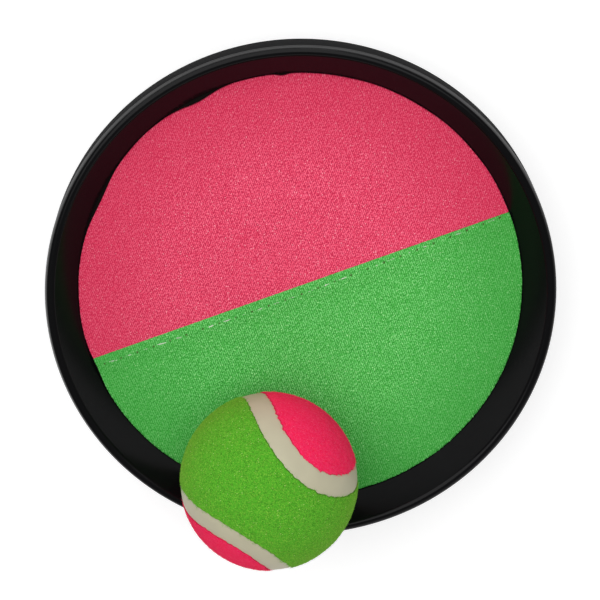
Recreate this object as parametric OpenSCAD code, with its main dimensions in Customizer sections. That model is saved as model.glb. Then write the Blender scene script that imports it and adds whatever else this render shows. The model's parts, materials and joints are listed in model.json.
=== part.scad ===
// Hook and loop catch paddle: a round moulded dish faced with hook fabric, a two-part
// hand strap on its back, and the felt ball that the face catches. Millimetres.
// The dish lies face up. The origin is on its axis, in the plane of the rim's back edge.
// X runs along the strap and Z towards the ball.

/* [Dish] */
// Outside diameter of the rim
rim_d = 190; // [160:1:230]
// Height of the rim, from its back edge to the top of the lip
rim_h = 14.5; // [12:0.5:22]
// Width of the rim, from the fabric's edge to the outside
rim_w = 12; // [9:0.5:18]
// Thickness of the moulded wall
wall_t = 1.8; // [1.4:0.1:2.4]
// Inside radius of the rolled lip
lip_inner_r = 0.4; // [0.2:0.1:1]
// Thickness of the floor
floor_t = 2; // [1.5:0.1:3]
// Height of the floor's back over the rim's back edge
floor_recess = 0.8; // [0.4:0.1:1.5]
// Number of stiffening ribs under the lip
rib_count = 24; // [8:1:36]
// Thickness of a rib
rib_t = 1.2; // [0.8:0.1:2]
// Height of the ribs' lower edge over the rim's back edge
rib_recess = 2.5; // [1:0.5:4]

/* [Catching face] */
// Thickness of the fabric with its hooks
face_t = 1.5; // [1:0.1:2.5]
// Gap between the fabric's edge and the foot of the dish's wall
face_edge_gap = 0.4; // [0.2:0.1:1]
// Thickness of the adhesive film under the fabric
film_t = 0.2; // [0.1:0.05:0.4]
// Direction of the seam between the two fabrics, from X
seam_angle = 20; // [0:1:45]
// Distance of the seam from the middle of the face
seam_offset = 2; // [-20:1:20]
// Width of the sewn lap beside the seam
lap_w = 7; // [5:0.5:12]
// Height of the sewn lap over the fabric
lap_h = 0.5; // [0.2:0.1:1]
// Distance of the stitches from the seam
stitch_inset = 3.3; // [2:0.1:4.5]

/* [Thread] */
// Distance from one stitch of the face's seam to the next
seam_pitch = 6.6; // [4:0.1:9]
// Gap between two stitches of the face's seam
seam_stitch_gap = 2; // [1:0.1:3]
// Distance from one stitch of the strap to the next
stitch_pitch = 3.5; // [2.5:0.1:6]
// Length of a stitch of the strap
stitch_len = 2.3; // [1.5:0.1:2.4]
// Width of the thread
thread_w = 0.7; // [0.4:0.1:1.2]
// Height of the thread over what it is sewn to
thread_h = 0.35; // [0.2:0.05:0.6]

/* [Hand strap] */
// Width of the webbing
strap_w = 38; // [25:1:50]
// Thickness of the webbing
strap_t = 1.4; // [1:0.1:2]
// Distance between the two strap bars
bar_span = 92; // [80:1:110]
// Diameter of a strap bar
bar_d = 5; // [4:0.5:8]
// Clear height under the strap at its middle
hand_gap = 28; // [22:1:45]
// Radial clearance of the webbing loop on its bar
loop_clear = 0.1; // [0.05:0.01:0.1]
// Gap between the webbing loop and the floor's back
loop_floor_gap = 0.6; // [0.4:0.1:2]
// Gap between the webbing's edge and the ear beside it
ear_gap = 0.6; // [0.4:0.1:2]
// Thickness of an ear
ear_t = 3; // [2:0.1:5]
// Wall of an ear round the bar
ear_wall = 2; // [1.5:0.1:4]
// Length of webbing that is folded round the bar and sewn down
fold_len = 20; // [14:1:24]
// Length over which the two straps lie on each other
overlap_len = 66; // [50:1:70]
// Length of each closing patch
patch_len = 50; // [30:1:54]
// Distance from a strap's free end to its patch
patch_end = 3; // [2:0.5:6]
// Distance from the webbing's edge to the patch
patch_side = 2; // [1:0.5:4]
// Thickness of the hook patch
hook_t = 1; // [0.6:0.1:1.6]
// Thickness of the loop patch
loop_t = 1.2; // [0.6:0.1:2]
// Gap between the closed patches
closure_gap = 0.3; // [0.2:0.1:0.6]
// Gap between layers that are sewn together
sew_gap = 0.02; // [0.01:0.01:0.05]
// Distance from a bar to the first row of fold stitches
fold_stitch = 6.5; // [5.5:0.5:9]
// Distance from the end of a layer to its row of stitches
end_stitch = 2; // [1.5:0.5:4]

/* [Ball] */
// Outside diameter of the ball
ball_d = 66; // [50:1:72]
// Thickness of the felt
felt_t = 2.6; // [1.5:0.1:4]
// Thickness of the cement under the felt
cement_t = 0.2; // [0.15:0.05:0.4]
// Thickness of the rubber core
core_t = 3.2; // [2:0.1:5]
// Width of the rubber seam between the felt panels
seam_w = 7.4; // [4:0.2:10]
// Depth of the rubber seam under the felt
seam_depth = 0.4; // [0.1:0.1:1]
// Gap between the seam and a felt panel
panel_gap = 0.1; // [0.05:0.05:0.3]
// Half of the angle across the felt panel's waist
waist_angle = 32.6; // [26:0.2:40]
// Gap between the caught ball and the face
catch_gap = 0.3; // [0.2:0.1:1]
// Gap between the caught ball and the lip
ball_lip_gap = 3.1; // [1:0.1:20]
// Direction of the ball from the middle of the face
ball_azimuth = -101; // [-180:1:180]
// Turn of the ball about X
ball_turn_x = -5; // [-180:1:180]
// Turn of the ball about Y
ball_turn_y = -9; // [-180:1:180]
// Turn of the ball about Z
ball_turn_z = -173; // [-180:1:180]

/* [Hidden] */
$fn = 96;

// Dish
rim_r = rim_d / 2;
lip_r = wall_t + lip_inner_r;
lip_c = [rim_r - lip_r, rim_h - lip_r];
floor_top = floor_recess + floor_t;
face_r = rim_r - rim_w;
foot = [face_r + face_edge_gap, floor_top];
wall_angle = atan2(lip_c.y - foot.y, lip_c.x - foot.x) + asin(lip_r / norm(lip_c - foot));

// Catching face
film_top = floor_top + film_t;
face_top = film_top + face_t;
lap_top = face_top + lap_h;

// Hand strap: both straps lie on circles about one axis, which runs along Y
bar_x = bar_span / 2;
bore_r = bar_d / 2 + loop_clear;
loop_r = bore_r + strap_t;
bar_z = floor_recess - loop_floor_gap - loop_r;
closure_t = hook_t + loop_t + closure_gap;
arch_rise = bar_z - floor_recess + hand_gap + strap_t + closure_t / 2;
arch_r = (bar_x * bar_x + arch_rise * arch_rise) / (2 * arch_rise);
arch_z = bar_z - arch_rise + arch_r;
bar_angle = atan2(bar_x, arch_z - bar_z);
outer_pitch_r = arch_r + closure_t / 2;
inner_pitch_r = arch_r - closure_t / 2;
patch_w = strap_w - 2 * patch_side;
ear_y = strap_w / 2 + ear_gap + ear_t / 2;
ear_r = bar_d / 2 + ear_wall;

// Ball: the seam is one closed curve on a unit sphere, in degrees of its own parameter
ball_r = ball_d / 2;
ball_z = face_top + catch_gap + ball_r;
lip_reach = ball_r + ball_lip_gap + lip_r;
lip_drop = ball_z - lip_c.y;
ball_offset = lip_c.x - sqrt(lip_reach * lip_reach - lip_drop * lip_drop);
core_r = ball_r - felt_t - cement_t;
felt_in_r = ball_r - felt_t;
seam_out_r = ball_r - seam_depth;
curve_a = (1 + sin(waist_angle)) / 2;
curve_b = (1 - sin(waist_angle)) / 2;
curve_c = cos(waist_angle);
curve_step = 3;
panel_tip = 1.5;
panel_columns = 10;

// Steps along the rounded parts of the outlines, in degrees
lip_step = 12;
arch_step = 2;

// Angle at the strap's axis for a length along the strap
function arch_angle(len) = len / arch_r * 180 / PI;

// Points of an arc about a centre, between two angles from +X and no further apart than a step
function arc(centre, r, from, to, step) =
    let (steps = ceil(abs(to - from) / step))
    [
        for (i = [0 : steps])
            let (angle = from + (to - from) * i / steps)
            centre + r * [cos(angle), sin(angle)]
    ];

// A point of the dish's section, a distance inside the wall's face and at a height
function wall_point(inset, z) =
    let (top = lip_c + (lip_r - inset) * [-sin(wall_angle), cos(wall_angle)])
    [top.x - (top.y - z) / tan(wall_angle), z];

// Section of the whole dish, from its axis over the floor, the wall and the lip to the skirt
module dish_section() {
    polygon([
        [0, floor_recess],
        [0, floor_top],
        foot,
        each arc(lip_c, lip_r, wall_angle + 90, 0, lip_step),
        [rim_r, 0],
        [rim_r - wall_t, 0],
        each arc(lip_c, lip_inner_r, 0, wall_angle + 90, lip_step),
        wall_point(wall_t, floor_recess)
    ]);
}

// One stiffening rib, whose edges end inside the wall and the skirt
module rib() {
    middle = wall_t / 2;
    rotate([90, 0, 0]) linear_extrude(rib_t, center = true) polygon([
        wall_point(middle, rib_recess),
        lip_c + (lip_r - middle) * [-sin(wall_angle), cos(wall_angle)],
        [rim_r - middle, lip_c.y],
        [rim_r - middle, rib_recess]
    ]);
}

// A cylinder along Y, centred on the strap's middle line
module along_y(r, len) {
    rotate([90, 0, 0]) cylinder(h = len, r = r, center = true);
}

// One strap bar between its two ears
module strap_anchor() {
    translate([0, 0, bar_z]) along_y(bar_d / 2, 2 * ear_y);
    for (side = [-1, 1]) translate([0, side * ear_y, 0]) {
        translate([0, 0, bar_z]) along_y(ear_r, ear_t);
        translate([-ear_r, -ear_t / 2, bar_z]) cube([2 * ear_r, ear_t, floor_recess + floor_t / 2 - bar_z]);
    }
}

module dish() {
    color("#17181a") {
        rotate_extrude() dish_section();
        for (i = [0 : rib_count - 1]) rotate([0, 0, 360 * i / rib_count]) rib();
        for (side = [-1, 1]) translate([side * bar_x, 0, 0]) strap_anchor();
    }
}

module face_adhesive() {
    color("#d9d2b8") translate([0, 0, floor_top]) cylinder(h = film_t, r = face_r);
}

// The fabric disc's outline between two distances from its middle, across the seam
module face_outline(from, to) {
    intersection() {
        circle(face_r);
        rotate(seam_angle) translate([-rim_r, from]) square([rim_d, to - from]);
    }
}

module pink_face() {
    color("#d94066") translate([0, 0, film_top]) linear_extrude(face_t) face_outline(seam_offset, rim_r);
}

module green_face() {
    color("#4aa54a") translate([0, 0, film_top]) {
        linear_extrude(face_t) face_outline(-rim_r, seam_offset);
        linear_extrude(face_t + lap_h) face_outline(seam_offset - lap_w, seam_offset);
    }
}

module seam_stitches() {
    row_y = seam_offset - stitch_inset;
    len = seam_pitch - seam_stitch_gap;
    half_row = sqrt(face_r * face_r - row_y * row_y) - seam_pitch;
    count = floor(2 * half_row / seam_pitch);
    color("#cfd8c8") rotate([0, 0, seam_angle])
        for (i = [0 : count]) translate([(i - count / 2) * seam_pitch, row_y, lap_top])
            translate([-len / 2, -thread_w / 2, 0]) cube([len, thread_w, thread_h]);
}

// A band of the strap's arch, between two angles from straight down, positive towards +X
module arch_band(r_in, r_out, from, to, width) {
    translate([0, 0, arch_z]) rotate([90, 0, 0]) rotate([0, 0, from - 90])
        rotate_extrude(angle = to - from) translate([r_in, -width / 2]) square([r_out - r_in, width]);
}

// A strap on the -X bar: a sewn loop, the folded layer beside it and the long main layer
module strap(main_in, fold_in) {
    start = -bar_angle - 90;
    fold_end = start + arch_angle(fold_len);
    free_end = arch_angle(overlap_len / 2) - 90;
    main_out = main_in + strap_t;
    fold_out = fold_in + strap_t;
    fold_outside = fold_in > main_in;
    difference() {
        union() {
            translate([-bar_x, 0, bar_z]) along_y(loop_r, strap_w);
            translate([0, 0, arch_z]) rotate([90, 0, 0])
            linear_extrude(strap_w, center = true) polygon(concat(
                arc([0, 0], fold_outside ? fold_out : main_out, start, fold_end, arch_step),
                arc([0, 0], main_out, fold_end, free_end, arch_step),
                arc([0, 0], main_in, free_end, fold_end, arch_step),
                arc([0, 0], fold_outside ? main_in : fold_in, fold_end, start, arch_step)
            ));
        }
        translate([-bar_x, 0, bar_z]) along_y(bore_r, strap_w + ear_gap);
    }
}

// A closing patch near the free end of a strap on the -X bar
module patch(r_in, r_out) {
    end = arch_angle(overlap_len / 2 - patch_end);
    arch_band(r_in, r_out, end - arch_angle(patch_len), end, patch_w);
}

// A row of stitches across a strap at an angle; the thread stands out from a radius, or in from it
module stitch_row(r, angle, outwards) {
    count = floor((patch_w - stitch_len) / stitch_pitch);
    top = outwards ? r + sew_gap + thread_h : r - sew_gap;
    first = -(count * stitch_pitch + stitch_len) / 2;
    translate([0, 0, arch_z]) rotate([0, -angle, 0])
        for (i = [0 : count]) translate([-thread_w / 2, first + i * stitch_pitch, -top])
            cube([thread_w, stitch_len, thread_h]);
}

// The rows that hold a strap's fold and its patch
module strap_stitch_rows(fold_face_r, patch_face_r, patch_outwards) {
    patch_to = arch_angle(overlap_len / 2 - patch_end - end_stitch);
    patch_from = patch_to - arch_angle(patch_len - 2 * end_stitch);
    stitch_row(fold_face_r, arch_angle(fold_stitch) - bar_angle, true);
    stitch_row(fold_face_r, arch_angle(fold_len - end_stitch) - bar_angle, true);
    stitch_row(patch_face_r, patch_from, patch_outwards);
    stitch_row(patch_face_r, patch_to, patch_outwards);
}

module outer_strap() {
    color("#1d1e21") strap(outer_pitch_r, outer_pitch_r - strap_t);
}

module hook_patch() {
    color("#2a2b2e") patch(outer_pitch_r - hook_t, outer_pitch_r - sew_gap);
}

module outer_strap_stitches() {
    color("#3a3b3f") strap_stitch_rows(outer_pitch_r + strap_t, outer_pitch_r + strap_t, true);
}

// The inner strap is made on the -X bar too, and mirrored to the other one
module inner_strap() {
    color("#1d1e21") mirror([1, 0, 0]) strap(inner_pitch_r - strap_t, inner_pitch_r);
}

module loop_patch() {
    color("#2a2b2e") mirror([1, 0, 0]) patch(inner_pitch_r + sew_gap, inner_pitch_r + loop_t);
}

module inner_strap_stitches() {
    color("#3a3b3f") mirror([1, 0, 0])
        strap_stitch_rows(inner_pitch_r + strap_t, inner_pitch_r - strap_t, false);
}

// Puts the ball's own pieces where the face has caught it
module place_ball() {
    rotate([0, 0, ball_azimuth]) translate([ball_offset, 0, ball_z]) rotate([0, 0, -ball_azimuth])
        rotate([ball_turn_x, ball_turn_y, ball_turn_z]) children();
}

// Half of the hollow rubber core, above or below the plane where the two are joined
module core_half(side) {
    difference() {
        sphere(core_r);
        sphere(core_r - core_t);
        translate([0, 0, -side * core_r]) cube(2 * core_r, center = true);
    }
}

module ball_core_upper() {
    color("#3b3a38") place_ball() core_half(1);
}

module ball_core_lower() {
    color("#3b3a38") place_ball() core_half(-1);
}

// The seam curve, its direction, and a point at an angle to one side of it
function unit(v) = v / norm(v);
function curve(t) = [
    curve_a * cos(t) + curve_b * cos(3 * t),
    curve_a * sin(t) - curve_b * sin(3 * t),
    curve_c * sin(2 * t)
];
function curve_direction(t) = [
    -curve_a * sin(t) - 3 * curve_b * sin(3 * t),
    curve_a * cos(t) - 3 * curve_b * cos(3 * t),
    2 * curve_c * cos(2 * t)
];
function beside(t, angle) =
    curve(t) * cos(angle) + unit(cross(curve(t), curve_direction(t))) * sin(angle);
function across(p, q, u) =
    let (angle = acos(p * q))
    (sin((1 - u) * angle) * p + sin(u * angle) * q) / sin(angle);

// Two triangles of a four-sided patch
function split(a, b, c, d) = [[a, b, c], [a, c, d]];

// A felt panel on one side of the curve: rows run across it between points that mirror each other
module felt_panel(start, mirror_sum, side) {
    edge = side * (seam_w / 2 + panel_gap) / ball_r * 180 / PI;
    rows = [
        start + panel_tip,
        each [start + curve_step : curve_step : start + 180 - curve_step],
        start + 180 - panel_tip
    ];
    last = len(rows) - 1;
    cols = panel_columns + 1;
    inner = len(rows) * cols;
    skin = [
        for (t = rows, j = [0 : panel_columns])
            let (u = j / panel_columns)
            across(beside(t, edge), beside(mirror_sum - t, edge), side > 0 ? u : 1 - u)
    ];
    points = concat(ball_r * skin, felt_in_r * skin);
    faces = [
        for (i = [0 : last - 1], j = [0 : panel_columns - 1])
            let (a = i * cols + j, b = a + cols)
            each concat(split(a, a + 1, b + 1, b), split(inner + a, inner + b, inner + b + 1, inner + a + 1)),
        for (i = [0 : last - 1])
            let (a = i * cols, b = a + cols, c = a + panel_columns, d = b + panel_columns)
            each concat(split(a, b, inner + b, inner + a), split(c, inner + c, inner + d, d)),
        for (j = [0 : panel_columns - 1])
            let (a = j, b = last * cols + j)
            each concat(split(a, inner + a, inner + a + 1, a + 1), split(b, b + 1, inner + b + 1, inner + b))
    ];
    polyhedron(points, faces, convexity = 6);
}

module ball_felt_green() {
    color("#58b02a") place_ball() felt_panel(-45, 270, 1);
}

module ball_felt_pink() {
    color("#f02860") place_ball() felt_panel(45, 90, -1);
}

module ball_seam() {
    edge = seam_w / 2 / ball_r * 180 / PI;
    count = 360 / curve_step;
    points = [
        for (i = [0 : count - 1])
            let (left = beside(i * curve_step, edge), right = beside(i * curve_step, -edge))
            each [felt_in_r * right, felt_in_r * left, seam_out_r * left, seam_out_r * right]
    ];
    faces = [
        for (i = [0 : count - 1], k = [0 : 3])
            let (a = 4 * i, b = 4 * ((i + 1) % count), n = (k + 1) % 4)
            each split(a + k, b + k, b + n, a + n)
    ];
    color("#c9beab") place_ball() polyhedron(points, faces, convexity = 6);
}

dish();
face_adhesive();
pink_face();
green_face();
seam_stitches();
outer_strap();
hook_patch();
outer_strap_stitches();
inner_strap();
loop_patch();
inner_strap_stitches();
ball_core_upper();
ball_core_lower();
ball_felt_green();
ball_felt_pink();
ball_seam();
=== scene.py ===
"""Looks of a hook and loop catch paddle with its felt ball. Metres, in the CAD model's frame."""

import json
import math
from contextlib import contextmanager

import bmesh
import bpy
import numpy as np
from bpy.props import FloatProperty, FloatVectorProperty, IntProperty, PointerProperty
from bpy.types import Operator, Panel, PropertyGroup
from mathutils import Euler, Matrix, Vector, noise


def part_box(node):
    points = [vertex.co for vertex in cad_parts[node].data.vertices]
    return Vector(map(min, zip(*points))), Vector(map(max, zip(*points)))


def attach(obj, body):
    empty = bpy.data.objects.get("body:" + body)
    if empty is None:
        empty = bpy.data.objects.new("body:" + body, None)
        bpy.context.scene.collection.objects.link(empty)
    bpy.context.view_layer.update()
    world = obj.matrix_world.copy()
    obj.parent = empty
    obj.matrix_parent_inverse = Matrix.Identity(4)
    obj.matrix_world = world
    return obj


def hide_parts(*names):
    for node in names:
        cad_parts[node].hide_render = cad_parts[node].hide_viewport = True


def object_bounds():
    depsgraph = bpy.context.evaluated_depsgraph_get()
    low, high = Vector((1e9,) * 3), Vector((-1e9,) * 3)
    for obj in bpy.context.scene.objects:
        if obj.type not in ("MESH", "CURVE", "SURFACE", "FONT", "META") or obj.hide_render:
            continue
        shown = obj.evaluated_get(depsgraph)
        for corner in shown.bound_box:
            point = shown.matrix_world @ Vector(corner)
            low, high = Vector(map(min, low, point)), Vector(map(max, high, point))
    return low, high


bl_info = {
    "name": "Catch paddle",
    "version": (1, 0, 0),
    "blender": (4, 5, 0),
    "location": "3D View > Sidebar > Catch paddle",
    "description": "Builds the looks of a hook and loop catch paddle round its CAD model",
    "category": "Mesh",
}

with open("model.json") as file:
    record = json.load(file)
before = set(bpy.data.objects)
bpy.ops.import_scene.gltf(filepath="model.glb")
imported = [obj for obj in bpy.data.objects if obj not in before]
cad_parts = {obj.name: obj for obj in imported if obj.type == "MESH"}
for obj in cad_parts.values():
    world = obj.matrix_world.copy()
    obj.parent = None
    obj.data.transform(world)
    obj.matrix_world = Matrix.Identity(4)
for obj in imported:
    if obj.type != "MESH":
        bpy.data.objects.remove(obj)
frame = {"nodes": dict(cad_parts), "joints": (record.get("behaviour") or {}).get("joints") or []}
CAD_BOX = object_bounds()
MM = 0.001
MERGE_GAP = 0.001 * MM

# Places that the CAD model gives
DISH_LOW, DISH_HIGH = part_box("dish")
FILM_LOW, FILM_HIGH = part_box("face_adhesive")
FACE_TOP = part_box("pink_face")[1].z
LAP_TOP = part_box("green_face")[1].z
STRAP_LOW, STRAP_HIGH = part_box("outer_strap")
PATCH_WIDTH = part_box("hook_patch")[1].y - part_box("hook_patch")[0].y
BAR = next(Vector(joint["pos_m"]) for joint in frame["joints"] if joint["child"] == "outer_strap_half")
FELT_CORNERS = [corner for felt in ("ball_felt_green", "ball_felt_pink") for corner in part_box(felt)]
BALL_LOW = Vector(map(min, *FELT_CORNERS))
BALL_HIGH = Vector(map(max, *FELT_CORNERS))

# Dents in the fabric's cut edge: direction in degrees, depth, and half width in degrees
DENTS = ((94.7, 0.7 * MM, 1.1), (117.5, 1.8 * MM, 4.2), (154.3, 1.3 * MM, 5.5), (201.6, 0.9 * MM, 3.5))


def length(name, description, default):
    """A size that a user may change, in metres."""
    return FloatProperty(name=name, description=description, default=default, unit="LENGTH", precision=5)


def turn(name, description, degrees):
    """An angle that a user may change."""
    return FloatProperty(name=name, description=description, default=math.radians(degrees), unit="ROTATION")


def colour(name, description, default):
    """A colour that a user may change."""
    return FloatVectorProperty(
        name=name, description=description, default=default, subtype="COLOR", min=0, max=1,
    )


def number(name, description, default, unit="NONE"):
    """Any other value that a user may change."""
    return FloatProperty(name=name, description=description, default=default, unit=unit)


def whole_number(name, description, default):
    """A number of like things that a user may change."""
    return IntProperty(name=name, description=description, default=default)


class DishProps(PropertyGroup):
    """Sizes and finish of the moulded dish."""

    wall_t: length("Wall", "Thickness of the moulded wall", 1.8 * MM)
    lip_inner_r: length("Lip inside radius", "Inside radius of the rolled lip", 0.4 * MM)
    foot_gap: length("Foot gap", "Gap between the fabric and the foot of the wall", 0.3 * MM)
    floor_recess: length("Floor recess", "Height of the floor's back over the rim's back edge", 0.8 * MM)
    edge_r: length("Edge radius", "Rounding of the skirt's back edge", 0.45 * MM)
    rib_t: length("Rib", "Thickness of a stiffening rib", 1.2 * MM)
    rib_recess: length("Rib recess", "Height of the ribs over the rim's back edge", 2.5 * MM)
    rib_count: whole_number("Ribs", "Number of stiffening ribs", 24)
    ear_t: length("Ear", "Thickness of an ear that holds a strap bar", 3 * MM)
    ear_gap: length("Ear gap", "Gap between the webbing and an ear", 0.6 * MM)
    bar_d: length("Bar", "Diameter of a strap bar", 5 * MM)
    gate_r: length("Gate mark", "Radius of the moulding mark in the middle of the back", 4 * MM)
    spin_steps: whole_number("Spin steps", "Steps round the dish", 240)
    plastic: colour("Plastic", "Colour of the moulded plastic", (0.003, 0.003, 0.0035))


class FaceProps(PropertyGroup):
    """Sizes and finish of the two fabrics and the seam between them."""

    seam_angle: turn("Seam direction", "Direction of the seam, from X", 20)
    seam_offset: length("Seam offset", "Distance of the seam from the middle", 2 * MM)
    lap_w: length("Lap", "Width of the sewn lap beside the seam", 7 * MM)
    hook_pitch: length("Hook pitch", "Distance from one row of hooks to the next", 0.7 * MM)
    hook_h: length("Hook height", "Height of the hooks over the gaps between them", 0.3 * MM)
    edge_wander: length("Edge wander", "How far the cut edge strays from its circle", 0.2 * MM)
    # How far in from the cut edge the fabric's painted shade reaches
    edge_w: length("Edge shade", "Width over which the fabric darkens towards its edge", 45 * MM)
    pink_row: length("Pink rows", "Distance between the rows of the pink weave", 0.71 * MM)
    green_row: length("Green rows", "Distance between the rows of the green weave", 0.775 * MM)
    stitch_inset: length("Stitch inset", "Distance of the stitches from the seam", 3.3 * MM)
    stitch_drift: length("Stitch drift", "How far the row strays to the seam at its end", 2.6 * MM)
    stitch_pitch: length("Stitch pitch", "Distance from one stitch to the next", 6.6 * MM)
    stitch_gap: length("Stitch gap", "Gap between two stitches", 2 * MM)
    thread_w: length("Thread", "Width of the thread", 0.45 * MM)
    # The deep and tip colours are painted shade in the gaps between the hooks and painted highlights on
    # their tips, mixed with random tone; the fleck colours are painted glints of a few hooks
    pink: colour("Pink", "Colour of the pink hooks", (0.86, 0.054, 0.135))
    pink_deep: colour("Deep pink", "Colour between the pink hooks", (0.60, 0.024, 0.078))
    pink_tip: colour("Pink tips", "Colour of the pink hooks' tips", (1.0, 0.18, 0.29))
    pink_pale: colour("Pink flecks", "Colour of the few pink hooks that shine", (1.0, 0.45, 0.52))
    green: colour("Green", "Colour of the green hooks", (0.075, 0.50, 0.072))
    green_deep: colour("Deep green", "Colour between the green hooks", (0.04, 0.32, 0.042))
    green_tip: colour("Green tips", "Colour of the green hooks' tips", (0.23, 0.72, 0.22))
    green_pale: colour("Green flecks", "Colour of the few green hooks that shine", (0.5, 1.0, 0.42))
    needle_hole: colour("Needle hole", "Colour down in a needle hole", (0.06, 0.012, 0.01))
    thread: colour("Thread", "Colour of the seam's thread", (0.84, 0.87, 0.76))


class StrapProps(PropertyGroup):
    """Sizes and finish of the two-part hand strap."""

    webbing_t: length("Webbing", "Thickness of the webbing", 1.4 * MM)
    hook_t: length("Hook tape", "Thickness of the hook patch", 1 * MM)
    loop_t: length("Loop tape", "Thickness of the loop patch", 1.2 * MM)
    closure_gap: length("Closure gap", "Gap between the closed patches", 0.3 * MM)
    fold_len: length("Fold", "Length of webbing folded round the bar", 20 * MM)
    ease_len: length("Ease", "Length over which the two layers come together behind the bar", 6 * MM)
    overlap_len: length("Overlap", "Length over which the straps lie on each other", 66 * MM)
    patch_len: length("Patch", "Length of each closing patch", 50 * MM)
    patch_end: length("Patch end", "Distance from a strap's free end to its patch", 3 * MM)
    corner_r: length("Corner", "Rounding of a strap's free corners", 5 * MM)
    yarn_w: length("Yarn", "Width of a lengthwise yarn", 1.15 * MM)
    yarn_float: length("Float", "Length of a yarn between two crossings", 2.4 * MM)
    yarn_h: length("Relief", "Height of the weave", 0.16 * MM)
    fold_stitch: length("First stitches", "Distance from the bar to the first row of stitches", 6.5 * MM)
    end_stitch: length("Last stitches", "Distance from a layer's end to its stitches", 2 * MM)
    stitch_pitch: length("Stitch pitch", "Distance from one stitch to the next", 3.5 * MM)
    stitch_len: length("Stitch", "Length of a stitch", 2.9 * MM)
    thread_w: length("Thread", "Width of the thread", 0.6 * MM)
    hook_pitch: length("Hook pitch", "Distance from one nylon hook to the next", 1.5 * MM)
    webbing: colour("Webbing", "Colour of the webbing", (0.016, 0.016, 0.018))
    tape: colour("Tape", "Colour of the hook and loop tapes", (0.012, 0.012, 0.014))
    thread: colour("Thread", "Colour of the strap's thread", (0.03, 0.03, 0.033))


class BallProps(PropertyGroup):
    """Sizes and finish of the felt ball."""

    felt_t: length("Felt", "Thickness of the felt", 2.6 * MM)
    seam_w: length("Seam", "Width of the rubber seam", 7.4 * MM)
    seam_depth: length("Seam depth", "Depth of the rubber seam under the felt", 0.4 * MM)
    waist: turn("Waist", "Half of the angle across a panel's waist", 32.6)
    turn_x: turn("Turn about X", "Turn of the ball about X", -5)
    turn_y: turn("Turn about Y", "Turn of the ball about Y", -9)
    turn_z: turn("Turn about Z", "Turn of the ball about Z", -173)
    green_ragged: length("Green edge", "How far the green felt's edge strays over the seam", 0.6 * MM)
    pink_ragged: length("Pink edge", "How far the pink felt's edge strays over the seam", 1.05 * MM)
    nap_len: length("Nap", "Length of a loose felt fibre", 1.5 * MM)
    nap_w: length("Nap width", "Width of a loose felt fibre", 0.11 * MM)
    nap_count: whole_number("Fibres", "Loose fibres on each panel", 15000)
    green: colour("Green felt", "Colour of the green felt", (0.09, 0.45, 0.022))
    green_deep: colour("Deep green felt", "Colour deep in the green felt", (0.045, 0.26, 0.012))
    green_nap: colour("Green nap", "Colour of the green felt's pale fibres", (0.42, 0.7, 0.09))
    green_limb: colour("Green limb", "Colour of the green felt seen from the side", (0.56, 0.6, 0.06))
    green_pale: colour("Green flecks", "Colour of the green felt's flecks", (0.7, 0.8, 0.3))
    pink: colour("Pink felt", "Colour of the pink felt", (1.0, 0.024, 0.125))
    pink_deep: colour("Deep pink felt", "Colour deep in the pink felt", (1.0, 0.006, 0.075))
    pink_nap: colour("Pink nap", "Colour of the pink felt's pale fibres", (1.0, 0.12, 0.25))
    pink_limb: colour("Pink limb", "Colour of the pink felt seen from the side", (1.0, 0.05, 0.08))
    pink_pale: colour("Pink flecks", "Colour of the pink felt's flecks", (1.0, 0.18, 0.32))
    rubber: colour("Seam rubber", "Colour of the rubber seam", (0.585, 0.545, 0.385))
    core: colour("Core rubber", "Colour of the ball's core", (0.05, 0.048, 0.045))


class StageProps(PropertyGroup):
    """Camera, floor and light."""

    distance: length("Camera distance", "Distance of the camera from the origin", 900 * MM)
    tilt: turn("Camera tilt", "Angle between the camera's line and the face's normal", 17.2)
    azimuth: turn("Camera direction", "Direction of the camera's tilt, from X", 93.2)
    lens: number("Lens", "Focal length in millimetres", 143.5, "CAMERA")
    shift_x: number("Shift X", "Sideways shift of the picture", -0.0008)
    shift_y: number("Shift Y", "Upward shift of the picture", -0.0212)
    floor: colour("Floor", "Colour of the floor", (0.72, 0.72, 0.72))
    floor_lift: colour("Floor lift", "Light added to the floor where it is seen", (0.52, 0.52, 0.52))
    wall_lift: colour("Wall lift", "Light added to the far backdrop where it is seen", (0.75, 0.75, 0.75))
    world: number("World", "Strength of the even light all round", 0.28)
    key: number("Key light", "Power of the large front light", 36, "POWER")
    fill: number("Fill light", "Power of the weak light from the ball's side", 5, "POWER")


def props(group):
    """The sizes and colours of one group."""
    return getattr(bpy.context.scene, "paddle_" + group)


# Shader expressions


class Wire:
    """A shader socket in a Python expression: each operator on it adds one Math node."""

    def __init__(self, paint, socket):
        self.paint = paint
        self.socket = socket

    def math(self, operation, *others):
        return self.paint.math(operation, self, *others)

    def __add__(self, other):
        return self.paint.math("ADD", self, other)

    def __sub__(self, other):
        return self.paint.math("SUBTRACT", self, other)

    def __rsub__(self, other):
        return self.paint.math("SUBTRACT", other, self)

    def __mul__(self, other):
        return self.paint.math("MULTIPLY", self, other)

    def __gt__(self, other):
        return self.paint.math("GREATER_THAN", self, other)

    def __lt__(self, other):
        return self.paint.math("LESS_THAN", self, other)

    __radd__ = __add__
    __rmul__ = __mul__


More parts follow.
